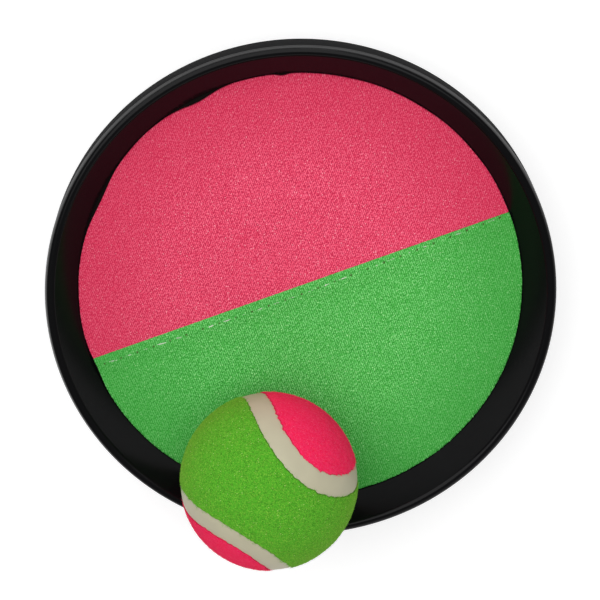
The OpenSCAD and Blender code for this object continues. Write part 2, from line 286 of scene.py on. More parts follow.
class Paint:
    """A material with one Principled shader, and the methods that add its other nodes."""

    def __init__(self, name, **constants):
        self.material = bpy.data.materials.new(name)
        self.material.use_nodes = True
        self.tree = self.material.node_tree
        self.shader = self.tree.nodes["Principled BSDF"]
        for socket, value in constants.items():
            self.set(socket.replace("_", " "), value)

    def set(self, socket, value):
        """Sets or links one socket of the Principled shader."""
        self.feed(self.shader.inputs[socket], value)

    def feed(self, socket, value):
        if isinstance(value, Wire):
            self.tree.links.new(value.socket, socket)
        elif socket.type == "RGBA" and len(value) == 3:
            socket.default_value = (*value, 1)
        else:
            socket.default_value = value

    def node(self, kind, settings, inputs, output=0):
        """Any node: its type, its settings, the values or links of its sockets, and the output wanted."""
        made = self.tree.nodes.new(kind)
        for setting, value in settings.items():
            setattr(made, setting, value)
        for socket, value in inputs.items():
            self.feed(made.inputs[socket], value)
        return Wire(self, made.outputs[output])

    def math(self, operation, *values):
        return self.node("ShaderNodeMath", {"operation": operation}, dict(enumerate(values)))

    def place(self):
        """Where a point of the piece is, in metres."""
        return self.node("ShaderNodeTexCoord", {}, {}, "Object")

    def mark(self, name):
        """A value that the piece's mesh holds at each point."""
        return self.node("ShaderNodeAttribute", {"attribute_name": name}, {}, "Fac")

    def grain(self, cell, detail=2.0, rough=0.5):
        """Smooth noise from 0 to 1 with grains of one size."""
        inputs = {"Vector": self.place(), "Scale": 1 / cell, "Detail": detail, "Roughness": rough}
        return self.node("ShaderNodeTexNoise", {}, inputs)

    def cells(self, cell):
        """A value from 0 to 1 for each cell of a random pattern."""
        inputs = {"Vector": self.place(), "Scale": 1 / cell}
        value = self.node("ShaderNodeTexVoronoi", {}, inputs, "Color")
        return self.node("ShaderNodeSeparateColor", {}, {"Color": value}, "Red")

    def fleck(self, cell, size, share):
        """Round flecks of one size in a share of the cells of a random pattern."""
        inputs = {"Vector": self.place(), "Scale": 1 / cell}
        spot = self.node("ShaderNodeTexVoronoi", {}, inputs, "Distance") < size
        return spot * (self.cells(cell) < share)

    def along(self, axis):
        """A point's distance from the origin along one axis."""
        return self.node("ShaderNodeSeparateXYZ", {}, {"Vector": self.place()}, axis)

    def ramp(self, value, low, high):
        """Goes smoothly from 0 to 1 as the value goes from low to high."""
        inputs = {"Value": value, "From Min": low, "From Max": high}
        return self.node("ShaderNodeMapRange", {"interpolation_type": "SMOOTHSTEP"}, inputs)

    def mix(self, factor, first, second):
        """A colour between two colours. The Mix node's colour sockets have numbers, not names."""
        return self.node("ShaderNodeMix", {"data_type": "RGBA"}, {0: factor, 6: first, 7: second}, 2)

    def bump(self, height, depth, strength=1.0):
        """Gives the surface a fine relief of one depth."""
        inputs = {"Height": height, "Distance": depth, "Strength": strength}
        self.set("Normal", self.node("ShaderNodeBump", {}, inputs))


# Modelling helpers


def deselect():
    """Leaves edit mode and selects nothing."""
    if bpy.context.mode != "OBJECT":
        bpy.ops.object.mode_set(mode="OBJECT")
    bpy.ops.object.select_all(action="DESELECT")


def select(*pieces):
    """Selects these pieces alone; the first one is active."""
    deselect()
    for piece in pieces:
        piece.select_set(True)
    bpy.context.view_layer.objects.active = pieces[0]


def begin(name, primitive, **settings):
    """A new piece from a primitive, with its place in its mesh."""
    deselect()
    primitive(**settings)
    piece = bpy.context.object
    piece.name = name
    piece.data.name = name
    bpy.ops.object.transform_apply(location=True, rotation=True, scale=True)
    return piece


@contextmanager
def editing(piece):
    """Edit mode on one piece; gives its edit mesh."""
    select(piece)
    bpy.ops.object.mode_set(mode="EDIT")
    bpy.ops.mesh.select_mode(type="VERT")
    yield bmesh.from_edit_mesh(piece.data)
    bpy.ops.object.mode_set(mode="OBJECT")


def pick(elements, test):
    """Selects the elements of an edit mesh that pass a test, and nothing else."""
    bpy.ops.mesh.select_all(action="DESELECT")
    for element in elements:
        if test(element):
            element.select_set(True)


def close_up():
    """Merges doubled points of the mesh being edited and points its faces outwards."""
    bpy.ops.mesh.select_all(action="SELECT")
    bpy.ops.mesh.remove_doubles(threshold=MERGE_GAP)
    bpy.ops.mesh.normals_make_consistent(inside=False)


def cut_lengthwise(rod, axis, cuts):
    """Cuts the edges of a rod that run along one axis, 0 to 2, into equal parts."""
    with editing(rod) as mesh:
        ends = [vert.co[axis] for vert in mesh.verts]
        half = (max(ends) - min(ends)) / 2
        pick(mesh.edges, lambda edge: abs(edge.verts[0].co[axis] - edge.verts[1].co[axis]) > half)
        bpy.ops.mesh.subdivide(number_cuts=cuts)


def apply_modifier(piece, kind, **settings):
    """Adds a modifier to a piece and applies it."""
    select(piece)
    modifier = piece.modifiers.new(kind.title(), kind)
    for setting, value in settings.items():
        setattr(modifier, setting, value)
    bpy.ops.object.modifier_apply(modifier=modifier.name)


def join(*pieces):
    """Joins pieces into the first one."""
    select(*pieces)
    bpy.ops.object.join()
    return pieces[0]


def values_of(items, name, kind=np.int32, width=1):
    """One value of each item of a mesh, as an array."""
    values = np.empty(len(items) * width, kind)
    items.foreach_get(name, values)
    return values


def points_of(piece):
    """The points of a piece's mesh, as rows."""
    return values_of(piece.data.vertices, "co", np.float32, 3).reshape(-1, 3).astype(float)


def move_points(piece, points):
    """Moves the points of a piece's mesh."""
    piece.data.vertices.foreach_set("co", np.asarray(points, np.float32).ravel())
    piece.data.update()


def reshape(piece, points):
    """Moves the points of a closed piece and points its faces outwards."""
    move_points(piece, points)
    with editing(piece):
        bpy.ops.mesh.select_all(action="SELECT")
        bpy.ops.mesh.normals_make_consistent(inside=False)


def mark_points(piece, name, values):
    """Keeps a value for each point in the piece's mesh, for its material."""
    layer = piece.data.attributes.new(name, "FLOAT", "POINT")
    layer.data.foreach_set("value", np.asarray(values, np.float32))


def lay_out(piece, places, below=None, apart=None):
    """Gives the piece its own UV map, from a place for each point.

    Faces whose points are all below take their places from apart.
    """
    mesh = piece.data
    corners = values_of(mesh.loops, "vertex_index")
    laid = np.asarray(places, np.float32)[corners]
    if below is not None:
        first = values_of(mesh.polygons, "loop_start")
        count = values_of(mesh.polygons, "loop_total")
        under = np.repeat(np.logical_and.reduceat(below[corners], first), count)
        laid[under] = np.asarray(apart, np.float32)[corners[under]]
    mesh.uv_layers.new(name="OFBake").data.foreach_set("uv", laid.ravel())


def lay_out_slab(piece, grid):
    """UV map of a slab: its upper face, its sides in a band round that, and its lower face beside them."""
    margin, band, half = 0.03, 0.02, 0.5
    below = grid[:, 2] < 0.5
    upper = margin + grid[:, :2] * (1 - 2 * margin, half - margin - 2 * band)
    outwards = (grid[:, :2] > 0.999) * 1.0 - (grid[:, :2] < 0.001)
    lay_out(piece, upper + band * outwards * below[:, None], below, upper + (0, half))


def wander(points, cell, seed):
    """Smooth noise from -1 to 1 at each point, with waves of one size."""
    apart = Vector((17.3, 5.9, 11.7)) * seed
    return np.array([noise.noise(Vector(point) / cell + apart) for point in points])


def layered(points, layers, shift=0):
    """Noise in layers, each with its height, the size of its waves and its seed."""
    return sum(height * wander(points, wave, seed + shift) for height, wave, seed in layers)


def smooth(x):
    """Goes smoothly from 0 to 1 as x does."""
    x = np.clip(x, 0, 1)
    return x * x * (3 - 2 * x)


def rolled(inset, width, depth):
    """How far a rolled edge falls away, at a distance from it."""
    return depth * np.clip(1 - inset / width, 0, 1) ** 2


def normalised(rows):
    """The same directions, each of length 1."""
    return rows / np.linalg.norm(rows, axis=-1)[..., None]


def arc(centre, radius, first, last, steps):
    """Points of an arc in a section, between two angles in degrees."""
    angles = np.radians(np.linspace(first, last, steps + 1))
    across, up = centre
    return [Vector((across + radius * math.cos(angle), up + radius * math.sin(angle))) for angle in angles]


def trace(name, outline):
    """A line of edges through an outline's points, extruded from one point."""
    piece = begin(name, bpy.ops.mesh.primitive_plane_add, size=MM)
    with editing(piece):
        bpy.ops.mesh.merge(type="CENTER")
        bpy.ops.transform.translate(value=outline[0])
        for here, there in zip(outline, outline[1:]):
            bpy.ops.mesh.extrude_vertices_move(TRANSFORM_OT_translate={"value": there - here})
    return piece


def lathe(name, section, steps):
    """A section of (radius, height) points, spun round the axis."""
    piece = trace(name, [Vector((p.x, 0, p.y)) for p in section])
    with editing(piece):
        bpy.ops.mesh.select_all(action="SELECT")
        bpy.ops.mesh.spin(steps=steps, angle=math.tau, center=(0, 0, 0), axis=(0, 0, 1))
        close_up()
    return piece


def plate(name, outline, thickness):
    """An outline in the XZ plane, filled and extruded to both sides of it."""
    piece = trace(name, [Vector((p.x, -thickness / 2, p.y)) for p in outline])
    with editing(piece):
        bpy.ops.mesh.select_all(action="SELECT")
        bpy.ops.mesh.edge_face_add()
        bpy.ops.mesh.extrude_region_move(TRANSFORM_OT_translate={"value": (0, thickness, 0)})
        close_up()
    return piece


def copies(piece, matrices):
    """Copies of a piece, each with its own mesh, joined into one. The piece itself is removed."""
    made = []
    for i, matrix in enumerate(matrices):
        copy = bpy.data.objects.new(f"{piece.name}_{i}", piece.data.copy())
        copy.data.transform(matrix)
        bpy.context.collection.objects.link(copy)
        made.append(copy)
    bpy.data.objects.remove(piece)
    return join(*made)


def slab(name, long_steps, cross_steps):
    """A thin closed slab of squares: X and Y from 0 to 1, and Z 1 above and 0 below."""
    piece = begin(
        name, bpy.ops.mesh.primitive_grid_add, size=1, location=(0.5, 0.5, 0),
        x_subdivisions=long_steps, y_subdivisions=cross_steps,
    )
    with editing(piece):
        bpy.ops.mesh.select_all(action="SELECT")
        bpy.ops.mesh.extrude_region_move(TRANSFORM_OT_translate={"value": (0, 0, 1)})
        close_up()
    return piece


def scatter(name, pattern, places, shades):
    """One piece made of copies of a small pattern at many places, each with its own shade and UV cell."""
    local = points_of(pattern)
    faces = [list(face.vertices) for face in pattern.data.polygons]
    bpy.data.objects.remove(pattern)
    count = len(places)
    homogeneous = np.c_[local, np.ones(len(local))]
    points = np.einsum("kij,pj->kpi", places, homogeneous)[:, :, :3].reshape(-1, 3)
    all_faces = [[v + k * len(local) for v in face] for k in range(count) for face in faces]
    mesh = bpy.data.meshes.new(name)
    mesh.from_pydata(points.tolist(), [], all_faces)
    piece = bpy.data.objects.new(name, mesh)
    bpy.context.collection.objects.link(piece)
    mark_points(piece, "shade", np.repeat(shades, len(local)))
    side = math.ceil(math.sqrt(count))
    span = np.ptp(local, axis=0)
    wide = np.argsort(-span)[:2]
    margin = 0.1
    cell = margin + (1 - 2 * margin) * (local[:, wide] - local[:, wide].min(0)) / span[wide]
    corner = np.stack([np.arange(count) % side, np.arange(count) // side], axis=1)
    lay_out(piece, ((corner[:, None] + cell[None]) / side).reshape(-1, 2))
    return piece


def frames(origin, x_axis, y_axis, z_axis):
    """A matrix for each place, from its origin and its axes, which hold the scale."""
    made = np.zeros((len(origin), 4, 4))
    for column, values in enumerate((x_axis, y_axis, z_axis, origin)):
        made[:, :3, column] = values
    made[:, 3, 3] = 1
    return made


def finish(piece, material, body, slot, *nodes, angle=35):
    """Smooths and paints a piece and seats it on its body, in place of its CAD nodes."""
    select(piece)
    bpy.ops.object.shade_smooth_by_angle(angle=math.radians(angle))
    piece.data.materials.clear()
    piece.data.materials.append(material)
    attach(piece, body)
    if nodes:
        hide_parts(*nodes)


# Thread of a stitch: cuts along it, its rise, sink and height as shares of its width, and its tips' taper
STITCH_CUTS = 7
STITCH_RISE = 0.5
STITCH_SINK = 0.1
STITCH_FLAT = 0.7
STITCH_TIP = 0.55
# Shades of the stitches, from 0 for dark to 1
STITCH_SHADES = (0.5, 1)


def thread_stitch(name, span, width, power=4):
    """One stitch along X: a thread that rises and goes back down, more steeply for a high power."""
    piece = begin(name, bpy.ops.mesh.primitive_cylinder_add, vertices=6, radius=width / 2, depth=span)
    cut_lengthwise(piece, 2, STITCH_CUTS)
    points = points_of(piece)
    along = points[:, 2] / span
    lift = width * (STITCH_RISE * (1 - abs(2 * along) ** power) - STITCH_SINK)
    taper = np.where(abs(along) > 0.49, STITCH_TIP, 1.0)
    reshape(piece, np.c_[points[:, 2], points[:, 1] * taper, points[:, 0] * STITCH_FLAT * taper + lift])
    return piece


# Materials

# Shiny band round the lip's outside: its width, its height, and where it starts and is full across the dish
SHINE_W = 0.95 * MM
SHINE_H = 1.3 * MM
SHINE_START = -45 * MM
SHINE_FULL = 25 * MM
# Heights over which the skirt turns matt and the back turns dull
SKIRT_FADE = 0.7 * MM
BACK_FADE = 1 * MM
# Distances from the middle between which the floor's light turns into the backdrop's
FLOOR_END = 0.8
BACKDROP_START = 2.6


def shade(tone, share):
    """A darker shade of a colour."""
    return tuple(share * channel for channel in tone)


def plastic_paint():
    """Glossy black moulded plastic, matt on its skirt and a little duller on its back."""
    dish = props("dish")
    paint = Paint("Black moulded plastic", IOR=1.2, Coat_IOR=1.5, Coat_Roughness=0.12)
    x, y, z = (paint.along(axis) for axis in "XYZ")
    from_axis = x * x + y * y
    skirt_top = DISH_HIGH.z - dish.wall_t
    skirt = (from_axis > (DISH_HIGH.x - dish.wall_t) ** 2) * paint.ramp(skirt_top - z, 0.0, SKIRT_FADE)
    back = paint.ramp(FILM_LOW.z - z, 0.0, BACK_FADE)
    haze = paint.grain(9 * MM, detail=3)
    rim = (from_axis > (DISH_HIGH.x - SHINE_W) ** 2) * (z > DISH_HIGH.z - SHINE_H)
    paint.set("Coat Weight", rim * paint.ramp(y - 0.6 * x, SHINE_START, SHINE_FULL))
    paint.set("Base Color", paint.mix(paint.grain(25 * MM) * 0.6, dish.plastic, (0.005, 0.005, 0.0055)))
    paint.set("Roughness", (0.13 + haze * 0.06 + skirt * 0.8).math("MAXIMUM", back * 0.42))
    paint.bump(paint.grain(1.6 * MM, detail=1), depth=0.004 * MM)
    return paint.material


def fabric_paint(name, row, top, deep, tip, pale):
    """Hook fabric: woven rows and uneven hooks, with painted shade in the gaps between the hooks, painted
    highlights on their tips, a few painted glints, and painted shade towards its cut edge.
    """
    face = props("face")
    paint = Paint(name, Roughness=0.8, Specular_IOR_Level=0.15)
    x, y = (paint.along(axis) * (math.tau / row) for axis in "XY")
    cosine, sine = math.cos(face.seam_angle), math.sin(face.seam_angle)
    along, across = x * cosine + y * sine, y * cosine - x * sine
    pairs = (along * 0.25).math("SINE") * (across * 0.5).math("COSINE")
    rows = along.math("SINE") * 0.26 + pairs * 0.12
    rise = paint.mark("pile") + rows + paint.grain(16 * MM, detail=3) * 0.1
    rise = rise + paint.cells(0.33 * MM) * 0.65 - 0.375
    # Painted shade and highlight: darker in the gaps between the hooks and paler on their tips, as the pile
    # mark and random cells rise
    hooks = paint.mix(paint.ramp(rise, 0.05, 0.5), deep, top)
    tipped = paint.mix(paint.ramp(rise, 0.5, 0.95), hooks, tip)
    # Painted glints: a few pale flecks for hooks that catch the light
    flecked = paint.mix(paint.fleck(0.8 * MM, size=0.24, share=0.13), tipped, pale)
    # Painted shade: the fabric darkens towards its cut edge, where the dish's wall shades it
    edge_shaded = paint.mix(paint.mark("edge") * 0.5, flecked, deep)
    paint.set("Base Color", paint.mix(paint.mark("hole"), edge_shaded, face.needle_hole))
    paint.bump(paint.grain(0.35 * MM), depth=0.12 * MM, strength=0.6)
    return paint.material


def thread_paint(name, tone):
    """Twisted thread, each stitch of its own shade."""
    paint = Paint(name, Roughness=0.7, Sheen_Weight=0.2)
    twist = 0.6 + paint.grain(0.6 * MM) * 0.7
    paint.set("Base Color", paint.mix(paint.mark("shade") * twist, shade(tone, 0.25), tone))
    paint.bump(paint.grain(0.25 * MM, detail=1), depth=0.1 * MM)
    return paint.material


def webbing_paint():
    """Woven black nylon: yarns that shine a little where they rise, with painted shade where they sink."""
    tone = props("strap").webbing
    paint = Paint("Black webbing", Sheen_Weight=0.15)
    rise = paint.mark("pile")
    uneven = 0.55 + paint.grain(3 * MM, detail=3) * 0.9
    # Painted shade: the colour darkens where the yarns sink under each other and lightens on their crests,
    # mixed with random tone
    paint.set("Base Color", paint.mix(rise * uneven, shade(tone, 0.25), tone))
    paint.set("Roughness", 0.75 - rise * 0.25)
    paint.bump(paint.grain(0.22 * MM), depth=0.05 * MM)
    return paint.material


def tape_paint(name, rough):
    """Black nylon tape and its hooks or loops."""
    tone = props("strap").tape
    paint = Paint(name, Roughness=rough, Sheen_Weight=0.1)
    paint.set("Base Color", paint.mix(paint.grain(0.8 * MM, detail=3), shade(tone, 0.3), tone))
    paint.bump(paint.grain(0.3 * MM), depth=0.06 * MM)
    return paint.material


def felt_paint(name, tone, deep, nap, limb, pale):
    """Napped felt: matted fibres of two tones with pale ends, and a painted shadow along its cut edge."""
    paint = Paint(
        name, Roughness=0.95, Specular_IOR_Level=0.15,
        Sheen_Weight=0.3, Sheen_Roughness=0.5, Sheen_Tint=limb,
    )
    fibres = paint.cells(0.36 * MM) * 0.7 + paint.grain(0.8 * MM, detail=3) * 0.5
    matted = paint.mix(paint.ramp(fibres, 0.15, 0.75), deep, tone)
    tufts = paint.ramp(paint.grain(0.4 * MM, detail=3, rough=0.6), 0.5, 0.75) * 0.7
    tufted = paint.mix(tufts, matted, nap)
    flecked = paint.mix(paint.fleck(0.85 * MM, size=0.18, share=0.16) * 0.8, tufted, pale)
    # Painted shadow of the felt's cut side, darker along its cut edge
    paint.set("Base Color", paint.mix(paint.mark("cut") * 0.7, flecked, shade(deep, 0.4)))
    paint.bump(paint.grain(0.4 * MM, detail=4, rough=0.7), depth=0.25 * MM, strength=0.7)
    return paint.material


def nap_paint(name, tone, nap, limb):
    """Loose fibres of the felt, each of its own shade."""
    paint = Paint(name, Roughness=0.9, Specular_IOR_Level=0.15, Sheen_Weight=0.15, Sheen_Tint=limb)
    paint.set("Base Color", paint.mix(paint.mark("shade"), tone, nap))
    return paint.material


def rubber_paint(name, tone, rough):
    """Matt moulded rubber with a faint mottle."""
    paint = Paint(name, Roughness=rough)
    paint.set("Base Color", paint.mix(paint.grain(6 * MM, detail=4), shade(tone, 0.86), tone))
    paint.bump(paint.grain(0.5 * MM, detail=3), depth=0.03 * MM)
    return paint.material


def film_paint():
    """Clear adhesive film, dark from the plastic under it."""
    paint = Paint("Adhesive film", Roughness=0.8, Specular_IOR_Level=0.1)
    mottle = paint.grain(8 * MM, detail=3)
    paint.set("Base Color", paint.mix(mottle, (0.004, 0.002, 0.002), (0.007, 0.005, 0.004)))
    return paint.material


def floor_paint():
    """Pale floor, lifted to white where it is seen, which keeps its shadows."""
    stage = props("stage")
    paint = Paint("Pale floor", Base_Color=stage.floor, Roughness=0.9, Emission_Strength=1.0)
    rays = ("Is Camera Ray", "Is Glossy Ray", "Is Transmission Ray")
    camera, glossy, through = (paint.node("ShaderNodeLightPath", {}, {}, ray) for ray in rays)
    seen = camera.math("MAXIMUM", glossy).math("MAXIMUM", through)
    x, y = paint.along("X"), paint.along("Y")
    far = paint.ramp((x * x + y * y).math("SQRT"), FLOOR_END, BACKDROP_START)
    lift = paint.mix(far, stage.floor_lift, stage.wall_lift)
    paint.set("Emission Color", paint.mix(seen, (0, 0, 0), lift))
    return paint.material


# Stage

# Gap under the object, the floor's radius and the radius of its upturned edge
FLOOR_GAP = 0.3 * MM
FLOOR_R = 3.0
COVE_R = 1.0
# Each lamp's place, width and height
KEY_PLACE = Vector((-0.3, 0.85, 1.7))
KEY_SIZE = (2.2, 2.2)
FILL_PLACE = Vector((0.5, -1.5, 0.7))
FILL_SIZE = (1.8, 1.2)
# The camera's sensor in millimetres, and the nearest that it sees
SENSOR_W = 36
NEAREST = 0.01


class PADDLE_OT_stage(Operator):
    """Adds the floor, the lights and the camera"""

    bl_idname = "paddle.stage"
    bl_label = "Stage"

    def execute(self, context):
        stage = props("stage")
        self.add_floor()
        self.add_camera(stage)
        self.add_light("key_light", KEY_PLACE, KEY_SIZE, stage.key)
        self.add_light("fill_light", FILL_PLACE, FILL_SIZE, stage.fill)
        world = bpy.data.worlds.new("Even light")
        world.use_nodes = True
        background = world.node_tree.nodes["Background"]
        background.inputs["Color"].default_value = (1, 1, 1, 1)
        background.inputs["Strength"].default_value = stage.world
        context.scene.world = world
        context.scene.view_settings.view_transform = "Standard"
        return {"FINISHED"}

    def add_floor(self):
        """A round floor just under the object, which turns up into a backdrop."""
        floor_z = CAD_BOX[0].z - FLOOR_GAP
        cove = arc((FLOOR_R, floor_z + COVE_R), COVE_R, -90, 0, 12)
        floor = lathe("floor", [Vector((0, floor_z)), Vector((FLOOR_R, floor_z)), *cove], 64)
        bpy.ops.object.shade_smooth()
        floor.data.materials.append(floor_paint())

    def add_camera(self, stage):
        """Puts the camera on its line, with Y towards the top of the picture."""
        back = Vector((
            math.sin(stage.tilt) * math.cos(stage.azimuth),
            math.sin(stage.tilt) * math.sin(stage.azimuth),
            math.cos(stage.tilt),
        ))
        right = Vector((0, 1, 0)).cross(back).normalized()
        up = back.cross(right)
        deselect()
        bpy.ops.object.camera_add(location=back * stage.distance)
        camera = bpy.context.object
        camera.rotation_euler = Matrix((right, up, back)).transposed().to_euler()
        camera.data.lens = stage.lens
        camera.data.sensor_width = SENSOR_W
        camera.data.shift_x = stage.shift_x
        camera.data.shift_y = stage.shift_y
        camera.data.clip_start = NEAREST
        bpy.context.scene.camera = camera

    def add_light(self, name, place, size, power):
        """A soft light that faces the middle of the object."""
        deselect()
        bpy.ops.object.light_add(type="AREA", location=place)
        light = bpy.context.object
        light.name = name
        light.rotation_euler = place.to_track_quat("Z", "Y").to_euler()
        light.data.shape = "RECTANGLE"
        light.data.size, light.data.size_y = size
        light.data.energy = power


# Dish

# How far the wall's foot lies under the fabric's top, and the rounding of the ribs' and ears' edges
FOOT_DROP = 0.3 * MM
RIB_EDGE = 0.25 * MM
EAR_EDGE = 0.4 * MM


class PADDLE_OT_dish(Operator):
    """Builds the moulded dish with its ribs, ears and strap bars"""

    bl_idname = "paddle.dish"
    bl_label = "Dish"

    def execute(self, context):
        dish = props("dish")
        parts = [lathe("moulded_dish", self.section(dish), dish.spin_steps), self.ribs(dish)]
        for side in (-1, 1):
            parts.extend(self.anchor(dish, side * BAR.x))
        finish(join(*parts), plastic_paint(), "paddle", "dish_plastic", "dish", angle=28)
        return {"FINISHED"}

    def wall(self, dish):
        """Middle of the lip, its radius, the wall's foot and the wall's slope in degrees."""
        lip_r = dish.wall_t + dish.lip_inner_r
        lip = Vector((DISH_HIGH.x - lip_r, DISH_HIGH.z - lip_r))
        foot = Vector((FILM_HIGH.x + dish.foot_gap, FACE_TOP - FOOT_DROP))
        reach = lip - foot
        slope = math.degrees(math.atan2(reach.y, reach.x) + math.asin(lip_r / reach.length))
        return lip, lip_r, foot, slope

    def wall_top(self, dish, inset):
        """Where the wall meets the lip, a distance behind the wall's face."""
        lip, lip_r, _, slope = self.wall(dish)
        angle = math.radians(slope)
        return lip + (lip_r - inset) * Vector((-math.sin(angle), math.cos(angle)))

    def wall_point(self, dish, inset, z):
        """A point at a height, a distance behind the wall's face."""
        top = self.wall_top(dish, inset)
        slope = self.wall(dish)[-1]
        return Vector((top.x - (top.y - z) / math.tan(math.radians(slope)), z))

    def section(self, dish):
        """The dish's section, from its axis over the face, the lip and the skirt to the back."""
        lip, lip_r, foot, slope = self.wall(dish)
        rim_r = DISH_HIGH.x
        edge = dish.edge_r
        back = dish.floor_recess
        halfway = 0.6 * foot.x
        return [Vector(point) for point in (
            (0, FILM_LOW.z),
            (halfway, FILM_LOW.z),
            (foot.x, FILM_LOW.z),
            foot,
            *arc(lip, lip_r, slope + 90, 0, 22),
            *arc((rim_r - edge, edge), edge, 0, -90, 5),
            *arc((rim_r - dish.wall_t + edge, edge), edge, -90, -180, 5),
            *arc(lip, dish.lip_inner_r, 0, slope + 90, 10),
            self.wall_point(dish, dish.wall_t, back + edge),
            self.wall_point(dish, dish.wall_t + edge / 2, back),
            (halfway, back),
            (dish.gate_r + edge, back),
            (dish.gate_r, back + edge),
            (0.3 * dish.gate_r, back + edge),
            (0.25 * dish.gate_r, back + edge / 2),
            (0, back + edge / 2),
        )]

    def ribs(self, dish):
        """The stiffening ribs under the lip, whose edges end inside the wall and the skirt."""
        lip = self.wall(dish)[0]
        middle = dish.wall_t / 2
        skirt_x = DISH_HIGH.x - middle
        rib = plate("rib", [
            self.wall_point(dish, middle, dish.rib_recess),
            self.wall_top(dish, middle),
            Vector((skirt_x, lip.y)),
            Vector((skirt_x, dish.rib_recess)),
        ], dish.rib_t)
        apply_modifier(rib, "BEVEL", width=RIB_EDGE, segments=2)
        turns = [Matrix.Rotation(math.tau * i / dish.rib_count, 4, "Z") for i in range(dish.rib_count)]
        return copies(rib, turns)

    def anchor(self, dish, x):
        """One strap bar and its two ears, which end inside the floor."""
        ear_r = BAR.z - DISH_LOW.z
        top = (dish.floor_recess + FILM_LOW.z) / 2
        outline = [Vector((-ear_r, top)), *arc((0, BAR.z), ear_r, 180, 360, 20), Vector((ear_r, top))]
        ear = plate(f"ear_{x:.3f}", outline, dish.ear_t)
        apply_modifier(ear, "BEVEL", width=EAR_EDGE, segments=3, limit_method="ANGLE")
        ear_y = STRAP_HIGH.y + dish.ear_gap + dish.ear_t / 2
        ears = copies(ear, [Matrix.Translation((x, side * ear_y, 0)) for side in (-1, 1)])
        bar = begin(
            f"bar_{x:.3f}", bpy.ops.mesh.primitive_cylinder_add, vertices=40, radius=dish.bar_d / 2,
            depth=2 * ear_y, location=(x, 0, BAR.z), rotation=(math.pi / 2, 0, 0),
        )
        cut_lengthwise(bar, 1, 3)
        return [ears, bar]


# Catching face

# Fabric left over round the cut while it is shaped, and how far the cut stands over the film
SPARE = 2 * MM
CUT_OVER = 0.04 * MM
# Waves of the cut edge as a share of its radius, and where the lap's rise ends, in widths of the lap
EDGE_WAVE = 0.16
LAP_END = 1.3
# Height and waves of the fabric's uneven lie, and the width and depth of its rolled edges
SWELL = 0.1 * MM
SWELL_WAVE = 22 * MM
EDGE_ROLL = (0.7 * MM, 0.2 * MM)
SEAM_ROLL = (0.6 * MM, 0.25 * MM)
# How far pits and tips lie from the pile's middle, and how far any point strays, as shares of hook_h
HOOK_REACH = 0.46
HOOK_SPREAD = 0.06
# A needle hole's radius, the radii at which it ends, its depth, and how far in from the cut the holes begin
HOLE_R = 0.37 * MM
HOLE_END = 1.5
HOLE_DEPTH = 0.35 * MM
HOLE_INSET = 3 * MM
# How open the holes are in the middle, and by how much and over what length that changes
HOLE_OPEN = 0.85
HOLE_CHANGE = 0.6
HOLE_WAVE = 4 * MM
# How deep the seam's stitches lie in the lap, in millimetres, and how far they turn, in radians
SEAM_STITCH_DEPTHS = (0.2, 0.42)
SEAM_STITCH_SKEW = 0.07


def seam_turn(face):
    """Matrix that turns rows of flat points from along and across the seam to X and Y."""
    cosine, sine = math.cos(face.seam_angle), math.sin(face.seam_angle)
    return np.array([[cosine, sine], [-sine, cosine]])


def seam_stitches(face):
    """Number of stitches along the seam of the face."""
    row = face.seam_offset - face.stitch_inset
    half = math.sqrt(FILM_HIGH.x ** 2 - row ** 2) - face.stitch_pitch
    return math.floor(2 * half / face.stitch_pitch) + 1


def stitch_row(face, along):
    """Distance of the row of stitches from the seam, which shrinks towards the row's end."""
    return face.stitch_inset - face.stitch_drift * np.clip(along / FILM_HIGH.x, 0, 1)


def lap_rise(face, from_seam):
    """Height of the sewn lap over the fabric, at a distance from the seam."""
    return (LAP_TOP - FACE_TOP) * smooth(LAP_END - from_seam / face.lap_w)


